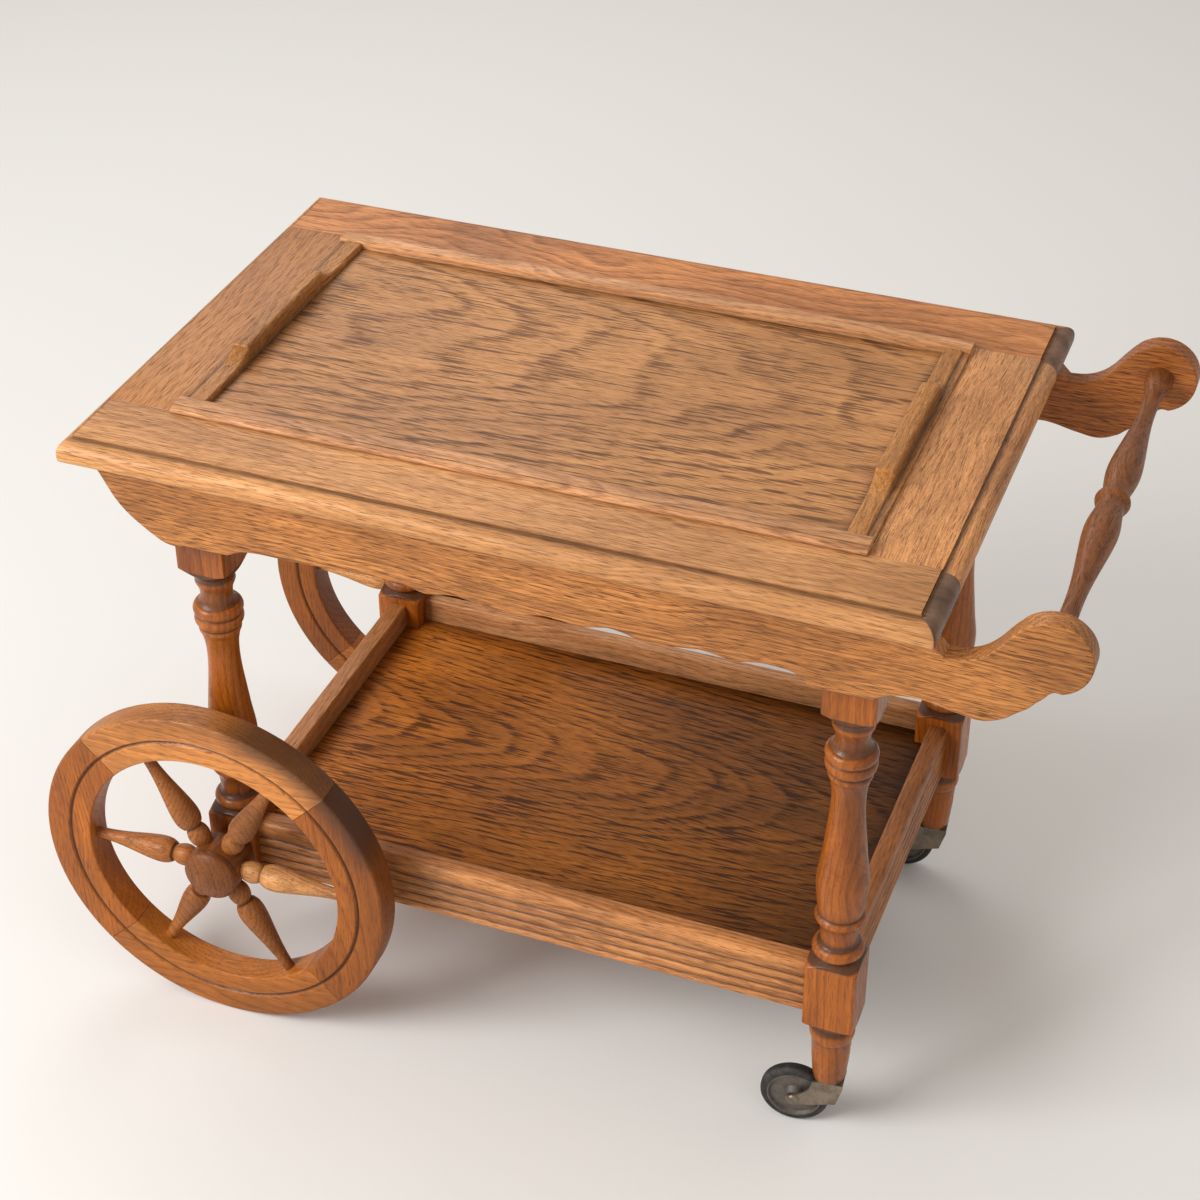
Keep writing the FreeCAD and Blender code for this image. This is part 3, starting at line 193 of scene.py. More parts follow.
# Oak: growth rings about a far-off pith, long streaks, short open pores, mottled stain.
# The grain runs along the piece's own X after the turn. What a wood sets for itself:
oakLook = {
    "shade": (0.38, 0.31, 0.25), "rings": 230, "pith": (0.03, 0.10), "wander": 0.006, "lean": 0.0,
    "figure": 0.30, "streak": 0.55, "patch": 0.35, "pores": 0.75, "flecks": 0.0, "gloss": 0.40, "sheen": 0.34,
    "vein": 0.0, "gather": 0.18, "cluster": 0.30, "fine": 330, "blotch": 0.30, "endGrain": 0.0, "fade": 0.0,
    "rim": None,
}
# What all woods share: features per metre along and across the grain, then colours.
oakGrain = {
    "sway": (3.1, 9, 9), "sway2": (3.7, 8, 8), "streak": (7, 420, 420), "broad": (2.6, 60, 60),
    "mottle": (5, 13, 13), "veinLong": 18, "veinCluster": (7, 24, 24), "pores": (65, 1900, 1900),
    "fleck": (240, 900, 40), "fleckTurn": (0, 0, 1.35), "grime": (0.045, 0.019, 0.009, 1), "grimeCover": 0.85,
    "sootDark": (0.050, 0.030, 0.020), "sootPale": (0.150, 0.090, 0.060), "rimDark": 0.6,
    "bumpStrength": 0.30, "bumpDeep": 0.0005,
}


def dimmed(colour, share):
    return tuple(value * share for value in colour[:3]) + (1,)


def oakMaterial(name, pale, turn=(0, 0, 0), seed=(0, 0, 0), **changes):
    look = dict(oakLook)
    look.update(changes)
    grain = oakGrain
    dark = tuple(value * share for value, share in zip(pale, look["shade"])) + (1,)
    make = Shade(name)
    place = make.add("TexCoord").outputs["Object"]
    grainSpace = make.stretch(place, (1, 1, 1), seed, turn)
    # the rings' centre wanders along the board, which draws the pointed arches
    wave = make.noise(grainSpace, grain["sway"], 2.0)
    wave2 = make.noise(grainSpace, grain["sway2"], 2.0, shift=(3, 1, 2))
    away = make.add("CombineXYZ", None, X=0.0, Y=make.minus(wave, 0.5), Z=make.minus(wave2, 0.5)).outputs[0]
    sway = make.add("VectorMath", {"operation": "SCALE"}, i0=away, Scale=look["wander"] * 8).outputs[0]
    bent = make.add("VectorMath", {"operation": "ADD"}, i0=grainSpace, i1=sway).outputs[0]
    parts = make.add("SeparateXYZ", None, Vector=bent)
    offY = make.minus(parts.outputs["Y"], look["pith"][0] + seed[1])
    offZ = make.minus(parts.outputs["Z"], look["pith"][1] + seed[2] + look["lean"] * seed[0])
    offZ = make.plus(offZ, make.times(parts.outputs["X"], look["lean"]))
    far = make.maths("SQRT", make.plus(make.times(offY, offY), make.times(offZ, offZ)))
    year = make.maths("FRACT", make.times(far, look["rings"]))
    ring = make.ramp(year, [(0.0, 0.0), (0.30, 0.62), (0.80, 1), (1.0, 0.0)])
    streak = make.noise(bent, grain["streak"], 3.0, 0.6)
    broad = make.noise(bent, grain["broad"], 3.0)
    mottle = make.noise(grainSpace, grain["mottle"], 3.0, shift=(7, 7, 7))
    # from dark to pale: the rings' share, then broad patches and fine streaks about their middle
    tone = make.scaled(ring, 0.6, look["figure"], 0.62)
    tone = make.plus(tone, make.scaled(broad, 0.5, look["patch"] * 2))
    tone = make.plus(tone, make.scaled(streak, 0.5, look["streak"] * 2), clamp=True)
    colour = make.mix(tone, dark, pale + (1,))
    early = make.ramp(year, [(0.0, 1), (0.35, 0.5), (0.8, 0.2), (1.0, 0.9)])
    if look["vein"]:
        # dark jagged veins: short dashes gathered along the years' first growth
        size = (grain["veinLong"], look["fine"], look["fine"])
        drawn = make.noise(bent, size, 2.0, 0.5, 0.15, shift=(1, 4, 2))
        amount = make.noise(bent, grain["veinCluster"], 2.0, shift=(5, 2, 6))
        gathered = make.plus(make.times(early, look["gather"]), make.times(amount, look["cluster"]))
        least = 0.55 + (look["gather"] + look["cluster"]) / 2
        line = make.ramp(make.plus(drawn, gathered), [(least, 0), (least + 0.07, 1)])
        colour = make.mix(make.times(line, look["vein"]), colour, dimmed(dark, 0.7))
    # open pores: short dark dashes, thickest where each year's growth begins
    pores = make.noise(grainSpace, grain["pores"], 1.0)
    crowd = make.plus(make.times(early, 0.14), 0.93)
    pitted = make.ramp(make.times(pores, crowd), [(0.53, 0), (0.66, 1)])
    colour = make.mix(make.times(pitted, look["pores"]), colour, dimmed(dark, 0.5))
    if look["flecks"]:
        # pale flecks across the grain, where a board is cut towards the pith
        fleck = make.noise(grainSpace, grain["fleck"], 1.0, shift=(2, 5, 1), turn=grain["fleckTurn"])
        shine = make.ramp(fleck, [(0.56, 0), (0.66, 1)])
        colour = make.mix(make.times(shine, look["flecks"]), colour, pale + (1,), "SCREEN")
    stain = 1 - look["blotch"]
    shadeOver = make.ramp(mottle, [(0.30, (stain, stain * 0.94, stain * 0.88)), (0.66, (1.08, 1.06, 1.03))])
    colour = make.mix(1.0, colour, shadeOver, "MULTIPLY")
    if look["rim"]:
        # a panel: painted light, paler towards one end, and painted shade where it meets the rails round it
        centre, halfX, halfY, wide = look["rim"]
        spot = make.add("SeparateXYZ", None, Vector=place)
        along = make.minus(spot.outputs["X"], centre)
        paler = make.minus(1.0, make.times(along, look["fade"]))
        nearX = make.minus(make.maths("ABSOLUTE", along), halfX - wide)
        nearY = make.minus(make.maths("ABSOLUTE", spot.outputs["Y"]), halfY - wide)
        near = make.times(make.maths("MAXIMUM", nearX, nearY), 1 / wide, True)
        rimShade = make.times(make.times(near, near), grain["rimDark"])
        paler = make.times(paler, make.minus(1.0, rimShade))
        over = make.add("CombineXYZ", None, X=paler, Y=paler, Z=paler).outputs[0]
        colour = make.mix(1.0, colour, over, "MULTIPLY")
    # painted shade, partly grime: each surface is darkened towards this near-black brown by its hollow
    # attribute, which the pieces set in their creases, grooves, quirks and joins
    hollow = make.add("Attribute", {"attribute_name": "hollow"}).outputs["Fac"]
    colour = make.mix(make.times(hollow, grain["grimeCover"]), colour, grain["grime"])
    if look["endGrain"]:
        # sawn ends drink the stain and go dark
        end = make.add("Attribute", {"attribute_name": "endGrain"}).outputs["Fac"]
        sooty = make.ramp(broad, [(0.35, grain["sootDark"]), (0.65, grain["sootPale"])])
        colour = make.mix(make.times(end, look["endGrain"]), colour, sooty)
    rough = make.plus(make.times(pitted, 0.22), make.times(mottle, 0.18))
    rough = make.plus(rough, look["gloss"] - 0.09)
    make.paint({"Base Color": colour, "Roughness": rough, "Specular IOR Level": look["sheen"]})
    height = make.minus(make.times(streak, 0.35), pitted)
    make.roughen(height, grain["bumpStrength"], grain["bumpDeep"])
    return make.material


# Metal and rubber: a cloudy colour between dark and pale stops, and fine spots in the sheen.
steelLook = {"cloud": 90, "detail": 0.65, "spot": 420, "stops": (0.30, 0.66), "rough": 0.30, "spread": 0.35,
             "dark": (0.198, 0.162, 0.126), "pale": (0.33, 0.27, 0.21), "metallic": 1.0, "bump": 0.2}
discLook = dict(steelLook, rough=0.32, dark=(0.096, 0.081, 0.069), pale=(0.16, 0.135, 0.115), metallic=0.5)
rubberLook = {"cloud": 70, "detail": 0.7, "spot": 900, "stops": (0.40, 0.75), "rough": 0.50, "spread": 0.30,
              "dark": (0.010, 0.009, 0.008), "pale": (0.055, 0.047, 0.040), "metallic": 0.0, "bump": 0.3}
plainBumpDeep = 0.0003


def plainMaterial(name, look):
    make = Shade(name)
    place = make.add("TexCoord").outputs["Object"]
    cloud = make.noise(place, (look["cloud"],) * 3, 5.0, look["detail"])
    spot = make.noise(place, (look["spot"],) * 3, 2.0)
    first, last = look["stops"]
    colour = make.ramp(cloud, [(first, look["dark"]), (last, look["pale"])])
    rough = make.plus(make.times(spot, look["spread"]), look["rough"])
    make.paint({"Base Color": colour, "Roughness": rough, "Metallic": look["metallic"]})
    make.roughen(spot, look["bump"], plainBumpDeep)
    return make.material


alongY = (0, 0, math.radians(90))
alongZ = (0, math.radians(90), 0)
woods = {
    "topFront": (0.76, 0.37, 0.140), "topBack": (0.74, 0.295, 0.092), "topLeft": (0.58, 0.255, 0.084),
    "topRight": (0.82, 0.375, 0.140), "veneer": (0.68, 0.325, 0.114), "strip": (0.84, 0.42, 0.190),
    "grip": (0.55, 0.235, 0.062), "board": (0.64, 0.262, 0.070), "boardBack": (0.50, 0.163, 0.029),
    "leg": (0.46, 0.128, 0.010), "felloe": (0.54, 0.175, 0.020), "felloeSide": (0.51, 0.145, 0.009),
    "felloePale": (0.78, 0.305, 0.072), "spoke": (0.42, 0.145, 0.027), "spokePale": (0.80, 0.38, 0.130),
    "hub": (0.26, 0.077, 0.011), "shelf": (0.50, 0.168, 0.020), "rail": (0.70, 0.30, 0.100),
    "railBack": (0.90, 0.44, 0.185), "railRight": (0.50, 0.185, 0.050), "apron": (0.25, 0.09, 0.030),
    "bar": (0.32, 0.108, 0.026),
}
# painted light and shade: each quarter of the rim takes a tone by where it sits on the front wheel; the top
# one is paler, lit from above and partly dust, the right one is darker painted shade, the sides a little
# darker than the bottom
felloeLightTones = (("felloeSide", 0.80), ("felloe", 1.0), ("felloeSide", 1.0), ("felloePale", 1.0))
spokeTones = (("spokePale", 1.0), ("spoke", 1.0), ("spoke", 1.05), ("spoke", 1.2), ("spoke", 1.0),
              ("spoke", 0.95))
materials = {}


def wood(node, tone, turn=(0, 0, 0), seed=(0, 0, 0), tint=1.0, **changes):
    pale = tuple(value * tint for value in woods[tone])
    materials[node] = oakMaterial("oak_" + node, pale, turn, seed, **changes)


def makeMaterials():
    wood("top_rail_front", "topFront", seed=(1.3, 0.2, 0.4), figure=0.12, blotch=0.24, endGrain=0.85)
    wood("top_rail_back", "topBack", seed=(4.1, 0.5, 0.3), figure=0.35, streak=0.35, endGrain=0.85)
    wood("top_rail_left", "topLeft", alongY, (2.2, 1.5, 0.3), figure=0.08, patch=0.10, streak=0.30,
         blotch=0.12)
    wood("top_rail_right", "topRight", alongY, (6.2, 0.8, 0.3), flecks=0.30, figure=0.15)
    for step, side in enumerate(("front", "back")):
        wood("tray_rail_" + side, "strip", seed=(3, 3 + step, 1), patch=0.2)
        wood("side_board_" + side, "boardBack" if step else "board", seed=(8, 1 + step, 2), figure=0.25,
             pores=1.0, streak=1.0)
        wood("shelf_rail_" + side, "railBack" if step else "rail", seed=(5, 2 + step, 4), patch=0.45)
        for place, end in enumerate(("left", "right")):
            wood(f"leg_{side}_{end}", "leg", alongZ, (1 + step, 2 + place, 5), figure=0.26, streak=0.5,
                 patch=0.6, pores=0.5, gloss=0.27, sheen=0.40, rings=170, blotch=0.4)
        # each felloe gets its quarter's painted light or shade tone
        for index, (tone, tint) in enumerate(felloeLightTones):
            wood(f"{side}_felloe_{index + 1}", tone, (0, math.radians(90 * index + 90), 0),
                 (index, 2, index * 2.0 + step), tint, figure=0.20, pores=0.6)
        for index, (tone, tint) in enumerate(spokeTones):
            wood(f"{side}_spoke_{index + 1}", tone, (0, math.radians(60 * index), 0),
                 (index, 1, index * 3.0 + step), tint, figure=0.25)
        wood(side + "_hub", "hub", alongY, figure=0.1)
        wood(side + "_hub_cap", "hub", alongZ, figure=0.15)
    for step, end in enumerate(("left", "right")):
        wood("tray_handle_" + end, "grip", alongY, (3 + step, 1, 1), flecks=0.30, figure=0.15)
        wood("shelf_rail_" + end, "railRight" if step else "rail", alongY, (9 + step, 1, 1), figure=0.15)
        wood("end_apron_" + end, "apron", alongY, (9 + step, 4, 1))
    # the panels' rim is painted shade along their edges by the rails; the shelf's fade is painted light,
    # paler to the left and darker to the right
    wood("tray_panel", "veneer", seed=(2, 0, 0), figure=0.08, vein=1.0, gather=0.14, cluster=0.07, fine=430,
         wander=0.0025, lean=0.06, pith=(0.05, 0.05), rings=190, patch=0.14, blotch=0.16,
         rim=(-0.026, 0.293, 0.161, 0.012))
    wood("shelf_panel", "shelf", seed=(5, 0, 0), figure=0.12, vein=1.0, gather=0.17, fine=440, wander=0.003,
         lean=0.14, pith=(0.02, 0.06), rings=150, sheen=0.18, patch=0.30, fade=2.4,
         rim=(-0.008, 0.293, 0.190, 0.035), shade=(0.28, 0.25, 0.22))
    wood("push_bar", "bar", alongY, (1, 1, 1), figure=0.25)
    steel = plainMaterial("bronzedSteel", steelLook)
    disc = plainMaterial("casterDisc", discLook)
    rubber = plainMaterial("tyreRubber", rubberLook)
    for node in ("axle_bolts", "axle_nuts", "screws"):
        materials[node] = steel
    for side in ("front", "back"):
        for node in ("caster_socket_", "caster_fork_", "caster_rivet_"):
            materials[node + side] = steel
        materials["caster_wheel_" + side] = disc
        materials["caster_tyre_" + side] = rubber
    for node in nodes:
        nodes[node].data.materials.clear()
        nodes[node].data.materials.append(materials[node])
    print("materials done")


# Shapes: each new piece is a closed surface on a grid of whole arrays.
# An outline is a start point and runs: one point more is a line, two are an arc through both,
# three or more are a smooth curve through all.
def arcPoints(start, through, end, count):
    # circle through three points, sampled from the first to the last past the middle one
    ax, ay = start
    bx, by = through
    cx, cy = end
    twice = 2 * (ax * (by - cy) + bx * (cy - ay) + cx * (ay - by))
    if abs(twice) < 1e-12:
        return np.linspace(start, end, count + 1)[1:]
    squareA, squareB, squareC = ax * ax + ay * ay, bx * bx + by * by, cx * cx + cy * cy
    ox = (squareA * (by - cy) + squareB * (cy - ay) + squareC * (ay - by)) / twice
    oy = (squareA * (cx - bx) + squareB * (ax - cx) + squareC * (bx - ax)) / twice
    first = math.atan2(ay - oy, ax - ox)
    middle = (math.atan2(by - oy, bx - ox) - first) % (2 * math.pi)
    last = (math.atan2(cy - oy, cx - ox) - first) % (2 * math.pi)
    sweep = last if middle < last else last - 2 * math.pi
    angles = first + sweep * np.linspace(0, 1, count + 1)[1:]
    radius = math.hypot(ax - ox, ay - oy)
    return np.stack([ox + radius * np.cos(angles), oy + radius * np.sin(angles)], 1)


def curvePoints(stops, count):
    # natural cubic spline through the stops against the length between them
    stops = np.array(stops, float)
    lengths = np.concatenate([[0], np.cumsum(np.hypot(*np.diff(stops, axis=0).T))])
    gaps = np.diff(lengths)
    size = len(stops)
    system = np.eye(size)
    right = np.zeros((size, 2))
    inner = np.arange(1, size - 1)
    system[inner, inner - 1] = gaps[:-1]
    system[inner, inner] = 2 * (gaps[:-1] + gaps[1:])
    system[inner, inner + 1] = gaps[1:]
    slopes = np.diff(stops, axis=0) / gaps[:, None]
    right[1:-1] = 6 * np.diff(slopes, axis=0)
    bends = np.linalg.solve(system, right)
    at = np.linspace(0, lengths[-1], count + 1)[1:]
    cell = np.clip(np.searchsorted(lengths, at, side="left") - 1, 0, size - 2)
    before = (at - lengths[cell])[:, None]
    after = (lengths[cell + 1] - at)[:, None]
    gap = gaps[cell][:, None]
    return (bends[cell] * after ** 3 + bends[cell + 1] * before ** 3) / (6 * gap) \
        + (stops[cell] / gap - bends[cell] * gap / 6) * after \
        + (stops[cell + 1] / gap - bends[cell + 1] * gap / 6) * before


def outline(start, runs, fineness=0.0012):
    points = [np.array([start], float)]
    here = tuple(start)
    for run in runs:
        stops = [here] + [tuple(stop) for stop in run]
        reach = float(np.sum(np.hypot(*np.diff(np.array(stops), axis=0).T)))
        count = max(2, int(round(reach / fineness)))
        if len(run) == 1:
            points.append(np.linspace(here, run[0], max(1, min(count, 4)) + 1)[1:])
        elif len(run) == 2:
            points.append(arcPoints(here, run[0], run[1], count))
        else:
            points.append(curvePoints(stops, count))
        here = tuple(run[-1])
    return np.concatenate(points)


def shareRuns(table, along, across, base=(0.0, 0.0)):
    return [[(base[0] + along * u, base[1] + across * v) for u, v in run] for run in table]


# No radius is smaller than this, so that no two points of a ring meet.
thinnest = 0.00005


def hollows(points, reach):
    # how far each point of an outline lies below the average of its neighbours, 0 to 1
    height = points[:, 1]
    place = points[:, 0]
    weight = np.exp(-((place[:, None] - place[None, :]) / reach) ** 2)
    steps = np.gradient(place)
    weight = weight * np.abs(steps)[None, :]
    mean = (weight * height[None, :]).sum(1) / np.maximum(weight.sum(1), 1e-12)
    return np.clip((mean - height) / (reach * 0.55), 0, 1) * np.clip(height / reach - 1, 0, 1)


def enclosed(points, faces):
    # signed volume inside the faces: the sum of the tetrahedra from the origin to each corner fan
    fans = [(face[0], face[i], face[i + 1]) for face in faces for i in range(1, len(face) - 1)]
    corners = points[np.array(fans)]
    return np.einsum("ij,ij->i", corners[:, 0], np.cross(corners[:, 1], corners[:, 2])).sum() / 6


def meshPiece(node, ending, points, faces, hollow, body, sharp=32, endGrain=None):
    # the piece that stands for a node: outward faces, painted shade with grime (hollow) and end grain as
    # attributes
    name = node + ending
    if enclosed(points, faces) < 0:
        faces = [face[::-1] for face in faces]
    mesh = bpy.data.meshes.new(name)
    mesh.from_pydata(points.tolist(), [], faces)
    for key, values in (("hollow", hollow), ("endGrain", endGrain)):
        if values is not None:
            layer = mesh.attributes.new(key, "FLOAT", "POINT")
            layer.data.foreach_set("value", np.asarray(values, np.float32))
    mesh.shade_smooth()
    mesh.set_sharp_from_angle(angle=math.radians(sharp))
    mesh.validate()
    piece = bpy.data.objects.new(name, mesh)
    bpy.context.scene.collection.objects.link(piece)
    mesh.materials.append(materials[node])
    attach(piece, body)
    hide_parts(node)
    return piece


def gridFaces(rows, columns):
    # quads of a grid numbered row by row, each row closed on itself
    row = np.arange(rows - 1)[:, None]
    column = np.arange(columns)[None, :]
    nextColumn = (column + 1) % columns
    quads = np.stack(np.broadcast_arrays(
        row * columns + column, row * columns + nextColumn,
        (row + 1) * columns + nextColumn, (row + 1) * columns + column), -1)
    return quads.reshape(-1, 4).tolist()


def tube(node, ending, rings, hollow, body, **rest):
    # closed skin over rings of points, (count, around, 3); both ends are flat faces
    count, around = rings.shape[:2]
    faces = gridFaces(count, around)
    faces.append(list(range(around))[::-1])
    faces.append([(count - 1) * around + i for i in range(around)])
    flat = np.broadcast_to(hollow, (count, around)).reshape(-1)
    return meshPiece(node, ending, rings.reshape(-1, 3), faces, flat, body, **rest)


def turned(node, points, place, spin, body, sides=56, reach=0.006, dark=None):
    # surface of revolution: (along, radius times cosine, radius times sine), spun and then placed
    angles = np.linspace(0, 2 * np.pi, sides, endpoint=False)
    along = np.repeat(points[:, 0][:, None], sides, 1)
    radius = np.maximum(points[:, 1], thinnest)[:, None]
    rings = np.stack([along, radius * np.cos(angles), radius * np.sin(angles)], -1)
    rings = rings @ np.array(spin).T + np.array(place)
    # painted shade, partly grime: the outline's hollows are darkened, unless a darkness is given
    dark = (hollows(points, reach) if dark is None else dark)[:, None] * np.ones((1, sides))
    return tube(node, "_turning", rings, dark, body)


def roundedLoop(corners, steps=4):
    # polygon whose corners (x, y, ease) are each eased by a parabola that starts ease away
    data = np.array(corners, float)
    spots = data[:, :2]
    before = np.roll(spots, 1, 0) - spots
    after = np.roll(spots, -1, 0) - spots
    lengthBefore = np.linalg.norm(before, axis=1, keepdims=True)
    lengthAfter = np.linalg.norm(after, axis=1, keepdims=True)
    ease = np.minimum(data[:, 2:3], 0.45 * np.minimum(lengthBefore, lengthAfter))
    start = spots + before / lengthBefore * ease
    end = spots + after / lengthAfter * ease
    t = np.linspace(0, 1, steps + 1)[None, :, None]
    bend = (1 - t) ** 2 * start[:, None] + 2 * t * (1 - t) * spots[:, None] + t ** 2 * end[:, None]
    return bend.reshape(-1, 2)


def unit(vectors):
    return vectors / np.maximum(np.linalg.norm(vectors, axis=1, keepdims=True), 1e-9)


def insetLoop(loop, amount):
    # every point of a closed loop moved inwards along the mean normal of its two sides
    ahead = unit(np.roll(loop, -1, 0) - loop)
    behind = unit(loop - np.roll(loop, 1, 0))
    tangent = unit(ahead + behind)
    area = np.sum(loop[:, 0] * np.roll(loop[:, 1], -1) - np.roll(loop[:, 0], -1) * loop[:, 1])
    side = 1 if area > 0 else -1
    return loop + amount * side * np.stack([-tangent[:, 1], tangent[:, 0]], 1)


def bar(node, ending, loop, axis, low, high, ease, hollow, body):
    # a section carried along X or Y, drawn in by the ease at both ends
    spots = np.concatenate([[low, low + ease * 0.3, low + ease],
                            np.linspace(low, high, 6)[1:-1], [high - ease, high - ease * 0.3, high]])
    insets = np.zeros(len(spots))
    insets[[0, -1]] = ease
    insets[[1, -2]] = ease * 0.3
    column = 0 if axis == "x" else 1
    rings = [np.insert(insetLoop(loop, amount) if amount else loop, column, spot, axis=1)
             for spot, amount in zip(spots, insets)]
    return tube(node, ending, np.array(rings), hollow, body)


# Top frame: the moulding's section, outwards from the flat field and down, carried round the edge.
topEdge = {"step": 0.0045, "drop": 0.0028, "nose": 0.011, "foot": 0.004, "ease": 0.0007, "turnSteps": 7,
           "cornerPower": 0.12, "wheelEnd": 0.65, "lap": 0.004}


def noseSection(thickness):
    # (outwards, down) from the flat field's edge to the underside
    step, drop, nose, foot, ease = (topEdge[key] for key in ("step", "drop", "nose", "foot", "ease"))
    quarter = np.linspace(0, np.pi / 2, 11)
    round_ = np.stack([step + nose * np.sin(quarter), drop + nose * (1 - np.cos(quarter))], 1)
    heel = np.linspace(0, np.pi / 2, 6)
    under = np.stack([step + nose - foot + foot * np.cos(heel), thickness - foot + foot * np.sin(heel)], 1)
    lip = np.array([[-ease, 0], [-ease * 0.3, ease * 0.12], [0, ease], [0, drop - 0.0003], [0.0004, drop]])
    return np.concatenate([lip, round_, under])


def topRails():
    # a point is a station's base plus its outward direction times the section's reach, at the level
    # less the section's depth; the flat field closes each ring at the opening's edge
    low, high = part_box("top_rail_front")
    level, thickness = high.z, high.z - low.z
    section = noseSection(thickness)
    width = topEdge["step"] + topEdge["nose"]
    fieldX0, fieldX1 = low.x + width, high.x - width
    inner = high.y
    shadeAndDirt = np.zeros(len(section))
    # painted shade, partly dirt: darker in the crease where the flat field steps down to the nose
    shadeAndDirt[2:6] = (0.5, 0.9, 0.75, 0.25)
    shadeAndDirtLoop = np.concatenate([shadeAndDirt, [0, 0]])
    turn = np.linspace(0, np.pi / 2, topEdge["turnSteps"])
    sway = np.stack([np.cos(turn), np.sin(turn)], 1) ** topEdge["cornerPower"]
    shrink = topEdge["wheelEnd"]
    for side, node in ((-1, "top_rail_front"), (1, "top_rail_back")):
        innerY = side * abs(inner)
        fieldY = side * (abs(low.y) - width)
        # stations (x, y, outwards in x and in y): wheel end, corner, long side, corner, caster end
        stations = [(fieldX0, y, -shrink, 0) for y in np.linspace(innerY, fieldY, 4)[:-1]]
        stations += [(fieldX0, fieldY, -out * shrink, side * along) for out, along in sway]
        stations += [(x, fieldY, 0, side) for x in np.linspace(fieldX0, fieldX1, 12)[1:-1]]
        stations += [(fieldX1, fieldY, out, side * along) for out, along in sway[::-1]]
        stations += [(fieldX1, y, 1, 0) for y in np.linspace(fieldY, innerY, 4)[1:]]
        bases, offs = np.hsplit(np.array(stations), 2)
        cores = np.stack([bases[:, 0], np.full(len(bases), innerY)], 1)
        cores = cores[:, None]
        plan = np.hstack([bases[:, None] + section[None, :, :1] * offs[:, None], cores, cores])
        heights = np.concatenate([level - section[:, 1], [level - thickness, level]])
        rings = np.dstack([plan, np.broadcast_to(heights, plan.shape[:2])])
        ends = (offs[:, 0] > np.abs(offs[:, 1]))[:, None] & (np.arange(rings.shape[1]) > 4)[None, :]
        tube(node, "_board", rings, shadeAndDirtLoop, "frame", endGrain=ends.reshape(-1))
    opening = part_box("tray_rail_front")
    for end, node, field, share in ((-1, "top_rail_left", fieldX0, shrink),
                                    (1, "top_rail_right", fieldX1, 1)):
        innerX = (opening[0] if end < 0 else opening[1]).x - end * topEdge["lap"]
        profile = np.stack([field + end * share * section[:, 0], level - section[:, 1]], 1)
        loop = np.concatenate([profile, [[innerX, level - thickness], [innerX, level]]])
        bar(node, "_board", loop, "y", -abs(inner), abs(inner), 0.00025, shadeAndDirtLoop, "frame")


# Tray: strips with a lip, ovolo and quirk; handles with a raised hold; a figured panel.
traySize = {"lip": 0.003, "curve": 0.007, "quirk": 0.0008, "plug": 0.012, "plugInset": 0.005, "ease": 0.0007,
            "ledge": 0.007, "low": 0.0048, "rise": 0.0165, "hold": 0.144, "ramp": 0.034, "crownEase": 0.003}
rampShares = [[(0.30, 0.06), (0.55, 0.26), (0.86, 0.62)], [(0.86, 0.70)], [(0.90, 0.95), (1.0, 1.0)]]


def trayStrips():
    # the section (across, up) carried along X: plug, lip, a quarter ellipse as ovolo, quirk, flat crest
    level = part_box("top_rail_front")[1].z
    for side, node in ((-1, "tray_rail_front"), (1, "tray_rail_back")):
        low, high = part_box(node)
        inner, outer = (side * y for y in sorted((abs(low.y), abs(high.y))))
        plug = outer - side * traySize["plugInset"]
        ease = traySize["ease"]
        lipTop = level + traySize["lip"]
        shoulder = outer - side * traySize["curve"]
        crest = high.z
        rise = crest - traySize["quirk"] - lipTop
        swell = np.linspace(0, np.pi / 2, 7)
        ovolo = np.stack([outer - side * (0.0006 + (traySize["curve"] - 0.0006) * (1 - np.cos(swell))),
                          lipTop + rise * np.sin(swell)], 1)
        loop = np.concatenate([
            [[plug, level - traySize["plug"]], [plug, level], [outer, level + 0.0002], [outer, lipTop - ease],
             [outer - side * ease * 0.3, lipTop - ease * 0.3]],
            ovolo,
            [[shoulder, crest - ease * 0.7], [shoulder - side * ease * 0.7, crest],
             [inner + side * ease * 1.6, crest], [inner + side * ease * 0.4, crest - ease * 0.4],
             [inner, crest - ease * 1.6], [inner, level - traySize["plug"]]],
        ])
        shadeAndDirt = np.zeros(len(loop))
        # painted shade, partly dirt: darker where the lip meets the top frame, in the quirk at the ovolo's
        # head and at the inner foot by the panel
        shadeAndDirt[2] = 0.8
        shadeAndDirt[11:13] = (0.7, 0.5)
        shadeAndDirt[-1] = 0.9
        bar(node, "_strip", loop, "x", low.x, high.x, 0.0008, shadeAndDirt, "tray")


